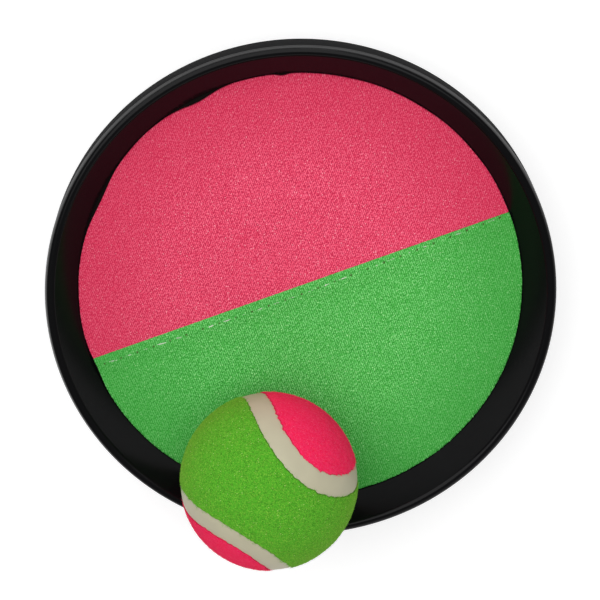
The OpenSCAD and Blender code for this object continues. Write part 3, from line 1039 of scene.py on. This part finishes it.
class PADDLE_OT_faces(Operator):
    """Builds the pink and the green hook fabric"""

    bl_idname = "paddle.faces"
    bl_label = "Catching face"

    def execute(self, context):
        face = props("face")
        for tone, side in (("pink", 1), ("green", -1)):
            piece = self.half(face, f"{tone}_fabric", side)
            shades = [tuple(getattr(face, tone + depth)) for depth in ("", "_deep", "_tip", "_pale")]
            paint = fabric_paint(f"{tone.title()} hook fabric", getattr(face, f"{tone}_row"), *shades)
            finish(piece, paint, "paddle", f"{tone}_hook_fabric", f"{tone}_face", angle=80)
        return {"FINISHED"}

    def cut_radius(self, face, along, across):
        """Radius of the fabric's cut edge in a point's direction: nearly round, with a few dents."""
        angle = np.arctan2(across, along) + face.seam_angle
        around = np.c_[np.cos(angle), np.sin(angle), np.zeros(len(angle))]
        cut = FILM_HIGH.x + CUT_OVER + face.edge_wander * wander(around, EDGE_WAVE, 1)
        for at, depth, wide in DENTS:
            off = (np.degrees(angle) - at + 180) % 360 - 180
            cut -= depth * np.exp(-((off / wide) ** 2) / 2)
        return cut

    def half(self, face, name, side):
        """One half of the fabric disc, with its hooks, its edge and its back."""
        step = face.hook_pitch / 2
        piece = self.blank(face, name, side, step)
        points = points_of(piece)
        along, across = points[:, 0], points[:, 1]
        inset = FILM_HIGH.x - np.hypot(along, across)
        stretch = self.cut_radius(face, along, across) / np.hypot(along, across)
        edge = self.border(piece) & (side * (across - face.seam_offset) > step / 20)
        points[edge, :2] *= stretch[edge, None]
        lift, pile, hole = self.relief(face, along, across, step, side, inset)
        points[:, 2] += lift
        points[:, :2] = points[:, :2] @ seam_turn(face)
        move_points(piece, points)
        self.close_back(piece)
        below = np.zeros(len(piece.data.vertices) - len(points))
        # The pile mark places the painted shade between the hooks and the painted highlights on their tips
        mark_points(piece, "pile", np.r_[pile, below])
        mark_points(piece, "hole", np.r_[hole, below])
        # The edge mark places the painted shade towards the cut edge, and on the back
        mark_points(piece, "edge", np.r_[smooth(1 - inset / face.edge_w), below + 1])
        self.lay_out(face, piece, len(points), side)
        return piece

    def blank(self, face, name, side, step):
        """A flat grid along the seam, two points for each row of hooks, cut to the half's outline."""
        steps = 2 * math.ceil((FILM_HIGH.x + SPARE) / step)
        piece = begin(
            name, bpy.ops.mesh.primitive_grid_add, size=steps * step, location=(0, 0, FACE_TOP),
            x_subdivisions=steps, y_subdivisions=steps,
        )
        along, across = points_of(piece)[:, :2].T
        outside = np.hypot(along, across) > self.cut_radius(face, along, across) - 0.4 * step
        with editing(piece) as mesh:
            pick(mesh.verts, lambda vert: outside[vert.index])
            bpy.ops.mesh.delete(type="VERT")
            bpy.ops.mesh.select_all(action="SELECT")
            bpy.ops.mesh.bisect(
                plane_co=(0, face.seam_offset, 0), plane_no=(0, side, 0),
                clear_inner=True, threshold=step / 50,
            )
        return piece

    def border(self, piece):
        """Which points of an open mesh lie on its border."""
        with editing(piece) as mesh:
            return np.array([vert.is_boundary for vert in mesh.verts])

    def close_back(self, piece):
        """Brings the border of a half down to the film and fills its back."""
        with editing(piece) as mesh:
            bpy.ops.mesh.select_mode(type="EDGE")
            pick(mesh.edges, lambda edge: edge.is_boundary)
            drop = FILM_HIGH.z - FACE_TOP
            bpy.ops.mesh.extrude_edges_move(TRANSFORM_OT_translate={"value": (0, 0, drop)})
            bpy.ops.transform.resize(value=(1, 1, 0), center_override=(0, 0, FILM_HIGH.z))
            bpy.ops.mesh.edge_face_add()
            bpy.ops.mesh.select_all(action="SELECT")
            bpy.ops.mesh.normals_make_consistent(inside=False)

    def lay_out(self, face, piece, above, side):
        """UV map of a half: its top, its sides in a band round it, and its back where the other half is."""
        band, back_gap, back_size = 1.5 * MM, 8 * MM, 0.9
        flat = points_of(piece)[:, :2]
        across = seam_turn(face)[1]
        below = np.arange(len(flat)) >= above
        on_seam = abs(flat @ across - face.seam_offset) < 0.05 * MM
        outwards = np.where(on_seam[:, None], -side * across, normalised(flat))
        scale = 0.49 / (FILM_HIGH.x + SPARE)
        front = flat + band * outwards * below[:, None]
        back = -back_size * flat - side * back_gap * across
        lay_out(piece, 0.5 + scale * front, below, 0.5 + scale * back)

    def hooks(self, along, across, step, draw):
        """Which points are pits and which are tips: one of each, anywhere in every block of four points."""
        column, row = (np.rint(values / step).astype(int) for values in (along, across))
        column, row = column - column.min(), row - row.min()
        blocks = (row.max() // 2 + 1, column.max() // 2 + 1)
        pit_at = draw.integers(0, 4, blocks)
        tip_at = (pit_at + draw.integers(1, 4, blocks)) % 4
        here = 2 * (row % 2) + column % 2
        return here == pit_at[row // 2, column // 2], here == tip_at[row // 2, column // 2]

    def relief(self, face, along, across, step, side, inset):
        """Height of each point, how far up a hook it is, and how deep in a needle hole."""
        draw = np.random.default_rng(5 if side > 0 else 6)
        pit, tip = self.hooks(along, across - face.seam_offset, step, draw)
        uneven = draw.normal(0, HOOK_SPREAD, len(along))
        pile = np.clip(0.5 + HOOK_REACH * tip - HOOK_REACH * pit + uneven, 0, 1)
        flat = np.c_[along, across, np.zeros(len(along))]
        lift = face.hook_h * (pile - 0.5) + SWELL * wander(flat, SWELL_WAVE, 2)
        lift -= rolled(inset, *EDGE_ROLL)
        hole = np.zeros(len(along))
        if side < 0:
            from_seam = face.seam_offset - across
            lift += lap_rise(face, from_seam) - rolled(from_seam, *SEAM_ROLL)
            phase = (along / face.stitch_pitch + (seam_stitches(face) - 1) / 2) % 1 - 0.5
            from_hole = np.hypot(phase * face.stitch_pitch, from_seam - stitch_row(face, along))
            open_share = np.clip(HOLE_OPEN + HOLE_CHANGE * wander(flat, HOLE_WAVE, 4), 0, 1)
            hole = np.clip(HOLE_END - from_hole / HOLE_R, 0, 1) * open_share * (inset > HOLE_INSET)
            lift -= HOLE_DEPTH * hole
        return lift, pile, hole


class PADDLE_OT_seam_stitches(Operator):
    """Builds the stitches along the seam of the face"""

    bl_idname = "paddle.seam_stitches"
    bl_label = "Seam stitches"

    def execute(self, context):
        face = props("face")
        count = seam_stitches(face)
        draw = np.random.default_rng(11)
        along = (np.arange(count) - (count - 1) / 2) * face.stitch_pitch
        from_seam = stitch_row(face, along)
        height = FACE_TOP + lap_rise(face, from_seam) - draw.uniform(*SEAM_STITCH_DEPTHS, count) * MM
        origin = np.c_[along, face.seam_offset - from_seam, height]
        skew = draw.normal(0, SEAM_STITCH_SKEW, count) + face.seam_angle - np.gradient(from_seam, along)
        origin[:, :2] = origin[:, :2] @ seam_turn(face)
        x_axis = np.c_[np.cos(skew), np.sin(skew), np.zeros(count)]
        y_axis = np.c_[-np.sin(skew), np.cos(skew), np.zeros(count)]
        up = np.tile((0, 0, 1.0), (count, 1))
        stitch = thread_stitch("stitch", face.stitch_pitch - face.stitch_gap, face.thread_w, power=1.2)
        places = frames(origin, x_axis, y_axis, up)
        piece = scatter("seam_thread", stitch, places, draw.uniform(*STITCH_SHADES, count))
        paint = thread_paint("Seam thread", tuple(face.thread))
        finish(piece, paint, "paddle", "seam_thread", "seam_stitches")
        return {"FINISHED"}


# Hand strap

# Each strap's name, its kind of closing patch, and its side of the closure: 1 for outside, -1 for inside
STRAPS = (("outer", "hook", 1), ("inner", "loop", -1))
# Gap between the webbing's layers at the fold, the length that gives its direction, and its mesh's squares
FOLD_GAP = 0.05 * MM
AHEAD = 0.3 * MM
WEBBING_STEP = 0.52 * MM
# Width of the webbing's border, and the shares of its thickness and its shine that are lost there
SELVEDGE = 0.9 * MM
SELVEDGE_THIN = 0.55
SELVEDGE_DULL = 0.4
# Share of a yarn's rise that lies under the webbing's face
YARN_SINK = 0.6
# Tape: squares along and across it, its corners, the height of its weave and its gap to the webbing
TAPE_STEPS = (64, 44)
TAPE_CORNER = 2 * MM
TAPE_WEAVE = 0.04 * MM
TAPE_GAP = 0.02 * MM
# A patch's tape, and the foot of its hooks or loops in it, as shares of its thickness
TAPE_SHARE = 0.4
FOOT_SHARE = 0.36
# Bare border round the hooks or loops
TAPE_BORDER = 1.2 * MM
# Share of a hook's length that is its straight stem, and heights of hooks and loops as shares of the most
STEM_SHARE = 0.4
FASTENER_HEIGHTS = (0.85, 1.0)
# Bend and thickness of a hook or loop as shares of its height, the degrees that it turns through,
# how far it strays as a share of the pitch, the roughness of its tape and the seed of its rows
FASTENERS = {
    "hook": {"bend": 0.3, "thick": 0.13, "degrees": 235, "stray": 0.05, "rough": 0.45, "seed": 21},
    "loop": {"bend": 0.42, "thick": 0.07, "degrees": 250, "stray": 0.3, "rough": 0.85, "seed": 22},
}


class Arch:
    """The circle on which the closed strap lies, and the two sides of the closure."""

    def __init__(self, strap):
        self.closure = strap.hook_t + strap.loop_t + strap.closure_gap
        rise = BAR.z - STRAP_LOW.z - self.closure / 2 - strap.webbing_t
        self.radius = (BAR.x ** 2 + rise ** 2) / (2 * rise)
        self.middle_z = BAR.z - rise + self.radius
        self.bar_angle = math.atan2(-BAR.x, self.middle_z - BAR.z)
        self.loop_r = BAR.x - STRAP_LOW.x - strap.webbing_t / 2

    def face_r(self, side):
        """Radius of the webbing's face that carries its patch, on one side of the closure."""
        return self.radius + side * self.closure / 2

    def angle(self, along):
        """Angle at the arch's axis for a length along the strap."""
        return along / self.radius

    def at(self, radius, angle, y=0.0):
        """Points at a radius and an angle from straight down, positive towards +X."""
        angle = np.asarray(angle, float)
        x = radius * np.sin(angle)
        z = self.middle_z - radius * np.cos(angle)
        return np.stack(np.broadcast_arrays(x, y, z), axis=-1)

    def outward(self, angle):
        """Direction away from the arch's axis."""
        angle = np.asarray(angle, float)
        return np.stack([np.sin(angle), np.zeros_like(angle), -np.cos(angle)], axis=-1)

    def along(self, angle):
        """Direction along the strap."""
        angle = np.asarray(angle, float)
        return np.stack([np.cos(angle), np.zeros_like(angle), np.sin(angle)], axis=-1)


def finish_on_strap(piece, paint, name, side, slot, *nodes, angle=35):
    """Finishes a piece made on the -X bar, and first turns the inner strap's round to the other bar."""
    if side < 0:
        move_points(piece, points_of(piece) * (-1, 1, 1))
        with editing(piece):
            bpy.ops.mesh.select_all(action="SELECT")
            bpy.ops.mesh.flip_normals()
    finish(piece, paint, f"{name}_strap_half", slot, *nodes, angle=angle)


class PADDLE_OT_straps(Operator):
    """Builds the two woven straps"""

    bl_idname = "paddle.straps"
    bl_label = "Straps"

    def execute(self, context):
        strap = props("strap")
        arch = Arch(strap)
        paint = webbing_paint()
        for name, _, side in STRAPS:
            piece, flat_len = self.webbing(strap, arch, f"{name}_webbing", side)
            finish_on_strap(piece, paint, name, side, "webbing", f"{name}_strap", angle=80)
        return {"FINISHED"}

    def line(self, strap, arch, side):
        """Middle line of a strap on the -X bar: the sewn fold, the loop round the bar and the main layer."""
        start = -arch.bar_angle
        main_r = arch.face_r(side) + side * strap.webbing_t / 2
        fold_r = main_r - side * (strap.webbing_t + FOLD_GAP)
        ease = arch.angle(strap.ease_len)
        fold_angles = np.linspace(start + arch.angle(strap.fold_len), start, 60)
        main_angles = np.linspace(start, arch.angle(strap.overlap_len / 2), 240)

        def eased(angles, layer_r, bar_r):
            return layer_r + (bar_r - layer_r) * (1 - smooth((angles - start) / ease))

        fold = arch.at(eased(fold_angles, fold_r, arch.radius - side * arch.loop_r), fold_angles)
        main = arch.at(eased(main_angles, main_r, arch.radius + side * arch.loop_r), main_angles)
        turn_by = np.linspace(math.pi, 0, 40)[1:-1, None] * side
        out, along = arch.outward(start), arch.along(start)
        loop = np.array(BAR) + arch.loop_r * (side * np.cos(turn_by) * out - np.sin(turn_by) * along * side)
        return np.concatenate([fold, loop, main])

    def webbing(self, strap, arch, name, side):
        """A woven slab, laid along the strap's middle line."""
        line = self.line(strap, arch, side)
        run = np.r_[0, np.cumsum(np.linalg.norm(np.diff(line, axis=0), axis=1))]
        flat_len = run[-1]
        width = 2 * STRAP_HIGH.y
        yarns = round(width / strap.yarn_w)
        piece = slab(name, round(flat_len / WEBBING_STEP), yarns * 3)
        grid = points_of(piece)
        along, across, top = grid[:, 0] * flat_len, (grid[:, 1] - 0.5) * width, grid[:, 2] > 0.5
        yarn = grid[:, 1] * yarns
        over = 0.5 + 0.5 * np.cos(math.tau * (along / strap.yarn_float + 0.5 * (np.floor(yarn) % 2)))
        crown = np.sqrt(np.clip(np.sin(math.pi * (yarn % 1)), 0, 1))
        rise = crown * np.where(top, over, 1 - over)
        border = np.clip((abs(across) - width / 2 + SELVEDGE) / SELVEDGE, 0, 1)
        relief = strap.yarn_h * (rise - YARN_SINK) * (1 - border)
        depth = strap.webbing_t / 2 * (1 - SELVEDGE_THIN * border ** 2) + relief
        corner = np.clip(abs(across) - width / 2 + strap.corner_r, 0, strap.corner_r)
        shorter = strap.corner_r - np.sqrt(strap.corner_r ** 2 - corner ** 2)
        near_end = smooth(1 - (flat_len - along) / (3 * strap.corner_r))
        place = along - shorter * near_end

        def on_line(places):
            return np.stack([np.interp(places, run, line[:, i]) for i in range(3)], axis=1)

        direction = normalised(on_line(place + AHEAD) - on_line(place - AHEAD))
        normal = np.cross(direction, (0, 1, 0))
        laid = on_line(place) + normal * np.where(top, depth, -depth)[:, None]
        laid[:, 1] = across
        reshape(piece, laid)
        # The pile mark also places the webbing's painted shade where its yarns sink
        mark_points(piece, "pile", rise * (1 - SELVEDGE_DULL * border))
        lay_out_slab(piece, grid)
        return piece, flat_len


class PADDLE_OT_patches(Operator):
    """Builds the hook patch and the loop patch that close the strap"""

    bl_idname = "paddle.patches"
    bl_label = "Closing patches"

    def execute(self, context):
        strap = props("strap")
        arch = Arch(strap)
        for name, kind, side in STRAPS:
            paint = tape_paint(f"{kind} tape", FASTENERS[kind]["rough"])
            thickness = strap.hook_t if kind == "hook" else strap.loop_t
            face_r = arch.face_r(side)
            foot_r = face_r - side * FOOT_SHARE * thickness
            tape = self.tape(strap, arch, f"{kind}_tape", face_r, -side, TAPE_SHARE * thickness)
            fuzz = self.fasteners(strap, arch, kind, foot_r, -side, (1 - TAPE_SHARE) * thickness)
            finish_on_strap(tape, paint, name, side, f"{kind}_tape", f"{kind}_patch")
            finish_on_strap(fuzz, paint, name, side, f"{kind}_tape")
        return {"FINISHED"}

    def span(self, strap, arch):
        """First and last angle of a patch on the -X strap."""
        last = arch.angle(strap.overlap_len / 2 - strap.patch_end)
        return last - arch.angle(strap.patch_len), last

    def tape(self, strap, arch, name, face_r, side, thickness):
        """The woven tape under the hooks or loops, with rounded corners."""
        first, last = self.span(strap, arch)
        piece = slab(name, *TAPE_STEPS)
        grid = points_of(piece)
        lengthwise, across, top = grid[:, 0] - 0.5, grid[:, 1] - 0.5, grid[:, 2] > 0.5
        past = np.clip(abs(across) * PATCH_WIDTH - PATCH_WIDTH / 2 + TAPE_CORNER, 0, TAPE_CORNER)
        shorter = (TAPE_CORNER - np.sqrt(TAPE_CORNER ** 2 - past ** 2)) * (2 * lengthwise)
        angle = (first + last) / 2 + lengthwise * (last - first) - arch.angle(shorter)
        weave = TAPE_WEAVE * np.prod(np.cos(math.pi * np.rint(grid[:, :2] * TAPE_STEPS)), axis=1)
        radius = face_r + side * np.where(top, thickness + weave, TAPE_GAP)
        reshape(piece, arch.at(radius, angle, across * PATCH_WIDTH))
        lay_out_slab(piece, grid)
        return piece

    def fasteners(self, strap, arch, kind, foot_r, side, height):
        """Rows of hooks or loops that stand on the tape."""
        first, last = self.span(strap, arch)
        rows = math.floor((strap.patch_len - 2 * TAPE_BORDER) / strap.hook_pitch)
        columns = math.floor((PATCH_WIDTH - 2 * TAPE_BORDER) / strap.hook_pitch)
        row, column = (values.ravel() for values in np.mgrid[0 : rows + 1, 0 : columns + 1])
        draw = np.random.default_rng(FASTENERS[kind]["seed"])
        stray = FASTENERS[kind]["stray"] * strap.hook_pitch
        along = (row - rows / 2) * strap.hook_pitch + draw.normal(0, stray, len(row))
        y = (column - columns / 2) * strap.hook_pitch + draw.normal(0, stray, len(row))
        angle = (first + last) / 2 + arch.angle(along)
        if kind == "hook":
            heading = np.where(column % 2 == 0, 0, math.pi)
        else:
            heading = draw.uniform(0, math.tau, len(row))
        ahead = arch.along(angle) * np.cos(heading)[:, None] + np.array([0, 1, 0]) * np.sin(heading)[:, None]
        up = side * arch.outward(angle)
        aside = np.cross(up, ahead)
        tall = draw.uniform(*FASTENER_HEIGHTS, len(row))[:, None]
        places = frames(arch.at(foot_r, angle, y), ahead, aside, up * tall)
        return scatter(f"{kind}_rows", self.fastener(kind, height), places, draw.uniform(0, 1, len(row)))

    def fastener(self, kind, height):
        """One nylon hook or one thread loop, bent from a thin rod."""
        bend, thick = (FASTENERS[kind][part] * height for part in ("bend", "thick"))
        turn_by = math.radians(FASTENERS[kind]["degrees"])
        rod = begin(kind, bpy.ops.mesh.primitive_cylinder_add, vertices=4, radius=thick, depth=1)
        cut_lengthwise(rod, 2, 6)
        points = points_of(rod)
        run = points[:, 2] + 0.5
        if kind == "hook":
            rising = np.clip(run / STEM_SHARE, 0, 1)
            angle = math.pi - turn_by * np.clip((run - STEM_SHARE) / (1 - STEM_SHARE), 0, 1)
        else:
            rising = 1
            angle = math.pi / 2 + turn_by * (0.5 - run)
        reach = bend + points[:, 0]
        stem = (height - bend - thick) * rising
        reshape(rod, np.c_[reach * np.cos(angle), points[:, 1], stem + reach * np.sin(angle)])
        return rod


class PADDLE_OT_strap_stitches(Operator):
    """Builds the stitches that hold the straps' folds and patches"""

    bl_idname = "paddle.strap_stitches"
    bl_label = "Strap stitches"

    def execute(self, context):
        strap = props("strap")
        arch = Arch(strap)
        paint = thread_paint("Strap thread", tuple(strap.thread))
        patch_last = arch.angle(strap.overlap_len / 2 - strap.patch_end - strap.end_stitch)
        patch_first = patch_last - arch.angle(strap.patch_len - 2 * strap.end_stitch)
        fold_first = arch.angle(strap.fold_stitch) - arch.bar_angle
        fold_last = arch.angle(strap.fold_len - strap.end_stitch) - arch.bar_angle
        for name, _, side in STRAPS:
            main_r = arch.face_r(side) + side * strap.webbing_t
            fold_r = main_r - side * 2 * strap.webbing_t
            rows = [(main_r, angle, side) for angle in (fold_first, fold_last, patch_first, patch_last)]
            rows += [(fold_r, angle, -side) for angle in (fold_first, fold_last)]
            piece = self.stitches(strap, arch, f"{name}_strap_thread", rows)
            finish_on_strap(piece, paint, name, side, "strap_thread", f"{name}_strap_stitches")
        return {"FINISHED"}

    def stitches(self, strap, arch, name, rows):
        """Rows of stitches across a strap, each at a radius and an angle and to one side of the webbing."""
        count = math.floor((PATCH_WIDTH - strap.stitch_len) / strap.stitch_pitch) + 1
        y = (np.arange(count) - (count - 1) / 2) * strap.stitch_pitch
        draw = np.random.default_rng(31)
        places = []
        for radius, angle, side in rows:
            angles = np.full(count, angle)
            up = side * arch.outward(angles)
            ahead = np.tile((0.0, 1.0, 0.0), (count, 1))
            places.append(frames(arch.at(radius, angles, y), ahead, np.cross(up, ahead), up))
        places = np.concatenate(places)
        stitch = thread_stitch("stitch", strap.stitch_len, strap.thread_w)
        return scatter(name, stitch, places, draw.uniform(*STITCH_SHADES, len(places)))


# Ball

# Squares of a felt panel's mesh along and across it
FELT_STEPS = (400, 60)
# How much closer the felt's points lie at its edge, and the degrees by which its rows stop short of its ends
FELT_CLOSER = 0.7
FELT_END = 1.2
# How far the felt's skin and the foot of a fibre lie under the ball's outline
FELT_SINK = 0.15 * MM
NAP_SINK = 0.22 * MM
# Width and depth of the felt's rounded edge, and how far in from the edge its painted shadow reaches and
# then fades
FELT_ROLL = (1.1 * MM, 0.75 * MM)
FELT_SHADOW_REACH = 0.4 * MM
FELT_SHADOW_FADE = 0.6 * MM
# Layers of the felt's matting, with waves as shares of the ball's radius, and of its ragged edge
MATTING = ((0.16 * MM, 0.05, 8), (0.13 * MM, 0.021, 9))
RAGS = ((0.5, 2.4 * MM, 3), (0.7, 1.1 * MM, 6))
# Fibres: bend at the end in widths, leans in radians, lengths and widths as shares of the most, and the
# power that darkens their shades
FIBRE_BEND = 1.2
FIBRE_LEANS = (0.05, 0.5)
FIBRE_LENGTHS = (0.45, 1)
FIBRE_WIDTHS = (0.6, 1)
FIBRE_DARK = 1.6
# How far the rubber seam reaches under the felt on each side, the power that squares its section, and its
# ripple's height and waves, which are a share of the ball's radius
SEAM_TUCK = 0.9 * MM
SEAM_SQUARE = 0.4
SEAM_RIPPLE = 0.05 * MM
SEAM_WAVE = 0.16


class SeamCurve:
    """The closed seam curve on the ball, and places on and beside it."""

    def __init__(self, ball):
        sine = math.sin(ball.waist)
        self.once, self.thrice, self.twice = (1 + sine) / 2, (1 - sine) / 2, math.cos(ball.waist)
        self.middle = np.array((BALL_LOW + BALL_HIGH) / 2)
        self.radius = max(BALL_HIGH - BALL_LOW) / 2
        self.turn = np.array(Euler((ball.turn_x, ball.turn_y, ball.turn_z), "XYZ").to_matrix())

    def on(self, t):
        """Points of the curve on a ball of radius 1, from waves that go once, twice and thrice round."""
        return np.stack([
            self.once * np.cos(t) + self.thrice * np.cos(3 * t),
            self.once * np.sin(t) - self.thrice * np.sin(3 * t),
            self.twice * np.sin(2 * t),
        ], axis=-1)

    def beside(self, t, angle):
        """Points at an angle to one side of the curve."""
        direction = np.stack([
            -self.once * np.sin(t) - 3 * self.thrice * np.sin(3 * t),
            self.once * np.cos(t) - 3 * self.thrice * np.cos(3 * t),
            2 * self.twice * np.cos(2 * t),
        ], axis=-1)
        aside = normalised(np.cross(self.on(t), direction))
        angle = np.asarray(angle)[..., None]
        return self.on(t) * np.cos(angle) + aside * np.sin(angle)

    def opposite(self, t, side):
        """The place on the curve that faces another one across a panel."""
        return (1 + side / 2) * math.pi - t

    def panel(self, t, share, near_edge, far_edge, side):
        """Points of a felt panel: a share of the way between two points of its edge that face each other."""
        near = self.beside(t, side * near_edge)
        far = self.beside(self.opposite(t, side), side * far_edge)
        gap = np.arccos(np.clip((near * far).sum(-1), -1, 1))[..., None]
        share = share[..., None]
        return (np.sin((1 - share) * gap) * near + np.sin(share * gap) * far) / np.sin(gap), gap[..., 0]

    def place(self, unit, radius):
        """Puts points of the ball of radius 1 where the caught ball is."""
        return self.middle + (unit * np.asarray(radius)[..., None]) @ self.turn.T


class PADDLE_OT_felt(Operator):
    """Builds the two felt panels of the ball and their loose fibres"""

    bl_idname = "paddle.felt"
    bl_label = "Felt panels"

    def execute(self, context):
        ball = props("ball")
        curve = SeamCurve(ball)
        for name, side in (("green", 1), ("pink", -1)):
            parts = ("", "_deep", "_nap", "_limb", "_pale")
            tone, deep, nap, limb, pale = (tuple(getattr(ball, name + part)) for part in parts)
            panel, area = self.panel(ball, curve, f"{name}_felt", side)
            skin = felt_paint(f"{name.title()} felt", tone, deep, nap, limb, pale)
            finish(panel, skin, "ball", f"{name}_felt", f"ball_felt_{name}", angle=80)
            loose = self.nap(ball, curve, f"{name}_nap", side)
            finish(loose, nap_paint(f"{name.title()} nap", tone, nap, limb), "ball", f"{name}_felt")
        return {"FINISHED"}

    def edges(self, ball, curve, t, side):
        """Angle between the curve and the felt's ragged edge."""
        around = curve.on(t) * curve.radius
        ragged = ball.green_ragged if side > 0 else ball.pink_ragged
        return (ball.seam_w / 2 - ragged * layered(around, RAGS, side)) / curve.radius

    def skin(self, ball, curve, rows, share, side):
        """Points of a panel's skin, and the distance of each from the felt's edge."""
        end = math.radians(FELT_END)
        t = math.radians(-45 * side) + end + rows * (math.pi - 2 * end)
        near_edge = self.edges(ball, curve, t, side)
        far_edge = self.edges(ball, curve, curve.opposite(t, side), side)
        unit, gap = curve.panel(t, share, near_edge, far_edge, side)
        return unit, np.minimum(share, 1 - share) * gap * curve.radius

    def panel(self, ball, curve, name, side):
        """A felt panel with a soft, uneven skin and rounded edges."""
        piece = slab(name, *FELT_STEPS)
        grid = points_of(piece)
        top = grid[:, 2] > 0.5
        closer = grid[:, 1] - FELT_CLOSER * np.sin(math.tau * grid[:, 1]) / math.tau
        unit, inset = self.skin(ball, curve, grid[:, 0], closer, side)
        outside = curve.radius - FELT_SINK + layered(unit, MATTING) - rolled(inset, *FELT_ROLL)
        reshape(piece, curve.place(unit, np.where(top, outside, curve.radius - ball.felt_t)))
        # The cut mark places the felt's painted shadow along its cut edge
        mark_points(piece, "cut", smooth(1 - (inset - FELT_SHADOW_REACH) / FELT_SHADOW_FADE))
        area = sum(face.area for face in piece.data.polygons) / 2
        lay_out_slab(piece, grid)
        return piece, area

    def nap(self, ball, curve, name, side):
        """Loose fibres that lie in the felt's skin and stand out a little at the ball's outline."""
        draw = np.random.default_rng(41 + side)
        count = ball.nap_count
        rows, share = draw.uniform(0, 1, count * 2), draw.uniform(0, 1, count * 2)
        unit, inset = self.skin(ball, curve, rows, share, side)
        # More fibres are kept where the panel is wide, so that they lie about evenly
        width = np.maximum(inset / np.maximum(np.minimum(share, 1 - share), 1e-6), 1e-9)
        keep = np.argsort(-width * draw.uniform(0.05, 1, len(width)))[:count]
        unit = unit[keep]
        aim = normalised(np.cross(unit, draw.normal(0, 1, unit.shape)))
        lean = draw.uniform(*FIBRE_LEANS, count)[:, None]
        ahead = aim * np.cos(lean) + unit * np.sin(lean)
        aside = np.cross(unit, aim)
        up = np.cross(ahead, aside)
        size = draw.uniform(*FIBRE_LENGTHS, count)[:, None] * ball.nap_len
        thick = draw.uniform(*FIBRE_WIDTHS, count)[:, None] * ball.nap_w
        origin = curve.place(unit, np.full(count, curve.radius - NAP_SINK))
        turned = [axis @ curve.turn.T for axis in (ahead * size, aside * thick, up * thick)]
        return scatter(name, self.fibre(), frames(origin, *turned), draw.uniform(0, 1, count) ** FIBRE_DARK)

    def fibre(self):
        """One bent, tapered fibre, 1 long and 1 wide."""
        rod = begin(
            "fibre", bpy.ops.mesh.primitive_cone_add, vertices=3, radius1=0.5, radius2=0, depth=1,
            end_fill_type="NOTHING", location=(0.5, 0, 0), rotation=(0, math.pi / 2, 0),
        )
        cut_lengthwise(rod, 0, 1)
        points = points_of(rod)
        points[:, 2] -= FIBRE_BEND * points[:, 0] ** 2
        move_points(rod, points)
        return rod


class PADDLE_OT_ball_seam(Operator):
    """Builds the ball's rubber seam"""

    bl_idname = "paddle.ball_seam"
    bl_label = "Ball seam"

    def execute(self, context):
        ball = props("ball")
        curve = SeamCurve(ball)
        piece = begin(
            "rubber_seam", bpy.ops.mesh.primitive_torus_add, major_radius=1, minor_radius=0.25,
            major_segments=420, minor_segments=32,
        )
        points = points_of(piece)
        t = np.arctan2(points[:, 1], points[:, 0])
        around = np.arctan2(points[:, 2], np.hypot(points[:, 0], points[:, 1]) - 1)
        waves = (np.cos(around), np.sin(around))
        across, upwards = (np.sign(wave) * abs(wave) ** SEAM_SQUARE for wave in waves)
        unit = curve.beside(t, across * (ball.seam_w / 2 + SEAM_TUCK) / curve.radius)
        top, bottom = curve.radius - ball.seam_depth, curve.radius - ball.felt_t
        ripple = SEAM_RIPPLE * wander(unit, SEAM_WAVE, 12) * (upwards > 0)
        reshape(piece, curve.place(unit, (top + bottom) / 2 + upwards * (top - bottom) / 2 + ripple))
        rubber = rubber_paint("Cream seam rubber", tuple(ball.rubber), 0.55)
        finish(piece, rubber, "ball", "seam_rubber", "ball_seam", angle=50)
        return {"FINISHED"}


class PADDLE_OT_inner_pieces(Operator):
    """Paints the pieces that the CAD model already shapes: the film and the ball's core"""

    bl_idname = "paddle.inner_pieces"
    bl_label = "Inner pieces"

    def execute(self, context):
        core = rubber_paint("Core rubber", tuple(props("ball").core), 0.7)
        paints = {"face_adhesive": film_paint(), "ball_core_upper": core, "ball_core_lower": core}
        for node, paint in paints.items():
            mesh = frame["nodes"][node].data
            mesh.materials.clear()
            mesh.materials.append(paint)
        return {"FINISHED"}


# The add-on's classes, with the operators in the order in which they build the object
OPERATORS = (
    PADDLE_OT_stage, PADDLE_OT_dish, PADDLE_OT_faces, PADDLE_OT_seam_stitches, PADDLE_OT_straps,
    PADDLE_OT_patches, PADDLE_OT_strap_stitches, PADDLE_OT_felt, PADDLE_OT_ball_seam, PADDLE_OT_inner_pieces,
)
GROUPS = {"dish": DishProps, "face": FaceProps, "strap": StrapProps, "ball": BallProps, "stage": StageProps}


class PADDLE_PT_panel(Panel):
    """Lists the pieces' operators"""

    bl_idname = "PADDLE_PT_panel"
    bl_label = "Catch paddle"
    bl_space_type = "VIEW_3D"
    bl_region_type = "UI"
    bl_category = "Catch paddle"

    def draw(self, context):
        for piece in OPERATORS:
            self.layout.operator(piece.bl_idname)


def register():
    """Registers the property groups, the operators and the panel."""
    for name, group in GROUPS.items():
        bpy.utils.register_class(group)
        setattr(bpy.types.Scene, "paddle_" + name, PointerProperty(type=group))
    for made in (*OPERATORS, PADDLE_PT_panel):
        bpy.utils.register_class(made)


def unregister():
    """Takes everything that register added away again."""
    for made in (PADDLE_PT_panel, *reversed(OPERATORS)):
        bpy.utils.unregister_class(made)
    for name, group in reversed(GROUPS.items()):
        delattr(bpy.types.Scene, "paddle_" + name)
        bpy.utils.unregister_class(group)


def main():
    """Builds every piece."""
    register()
    for piece in OPERATORS:
        family, name = piece.bl_idname.split(".")
        getattr(getattr(bpy.ops, family), name)()
    deselect()
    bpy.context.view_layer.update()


if __name__ == "__main__":
    main()
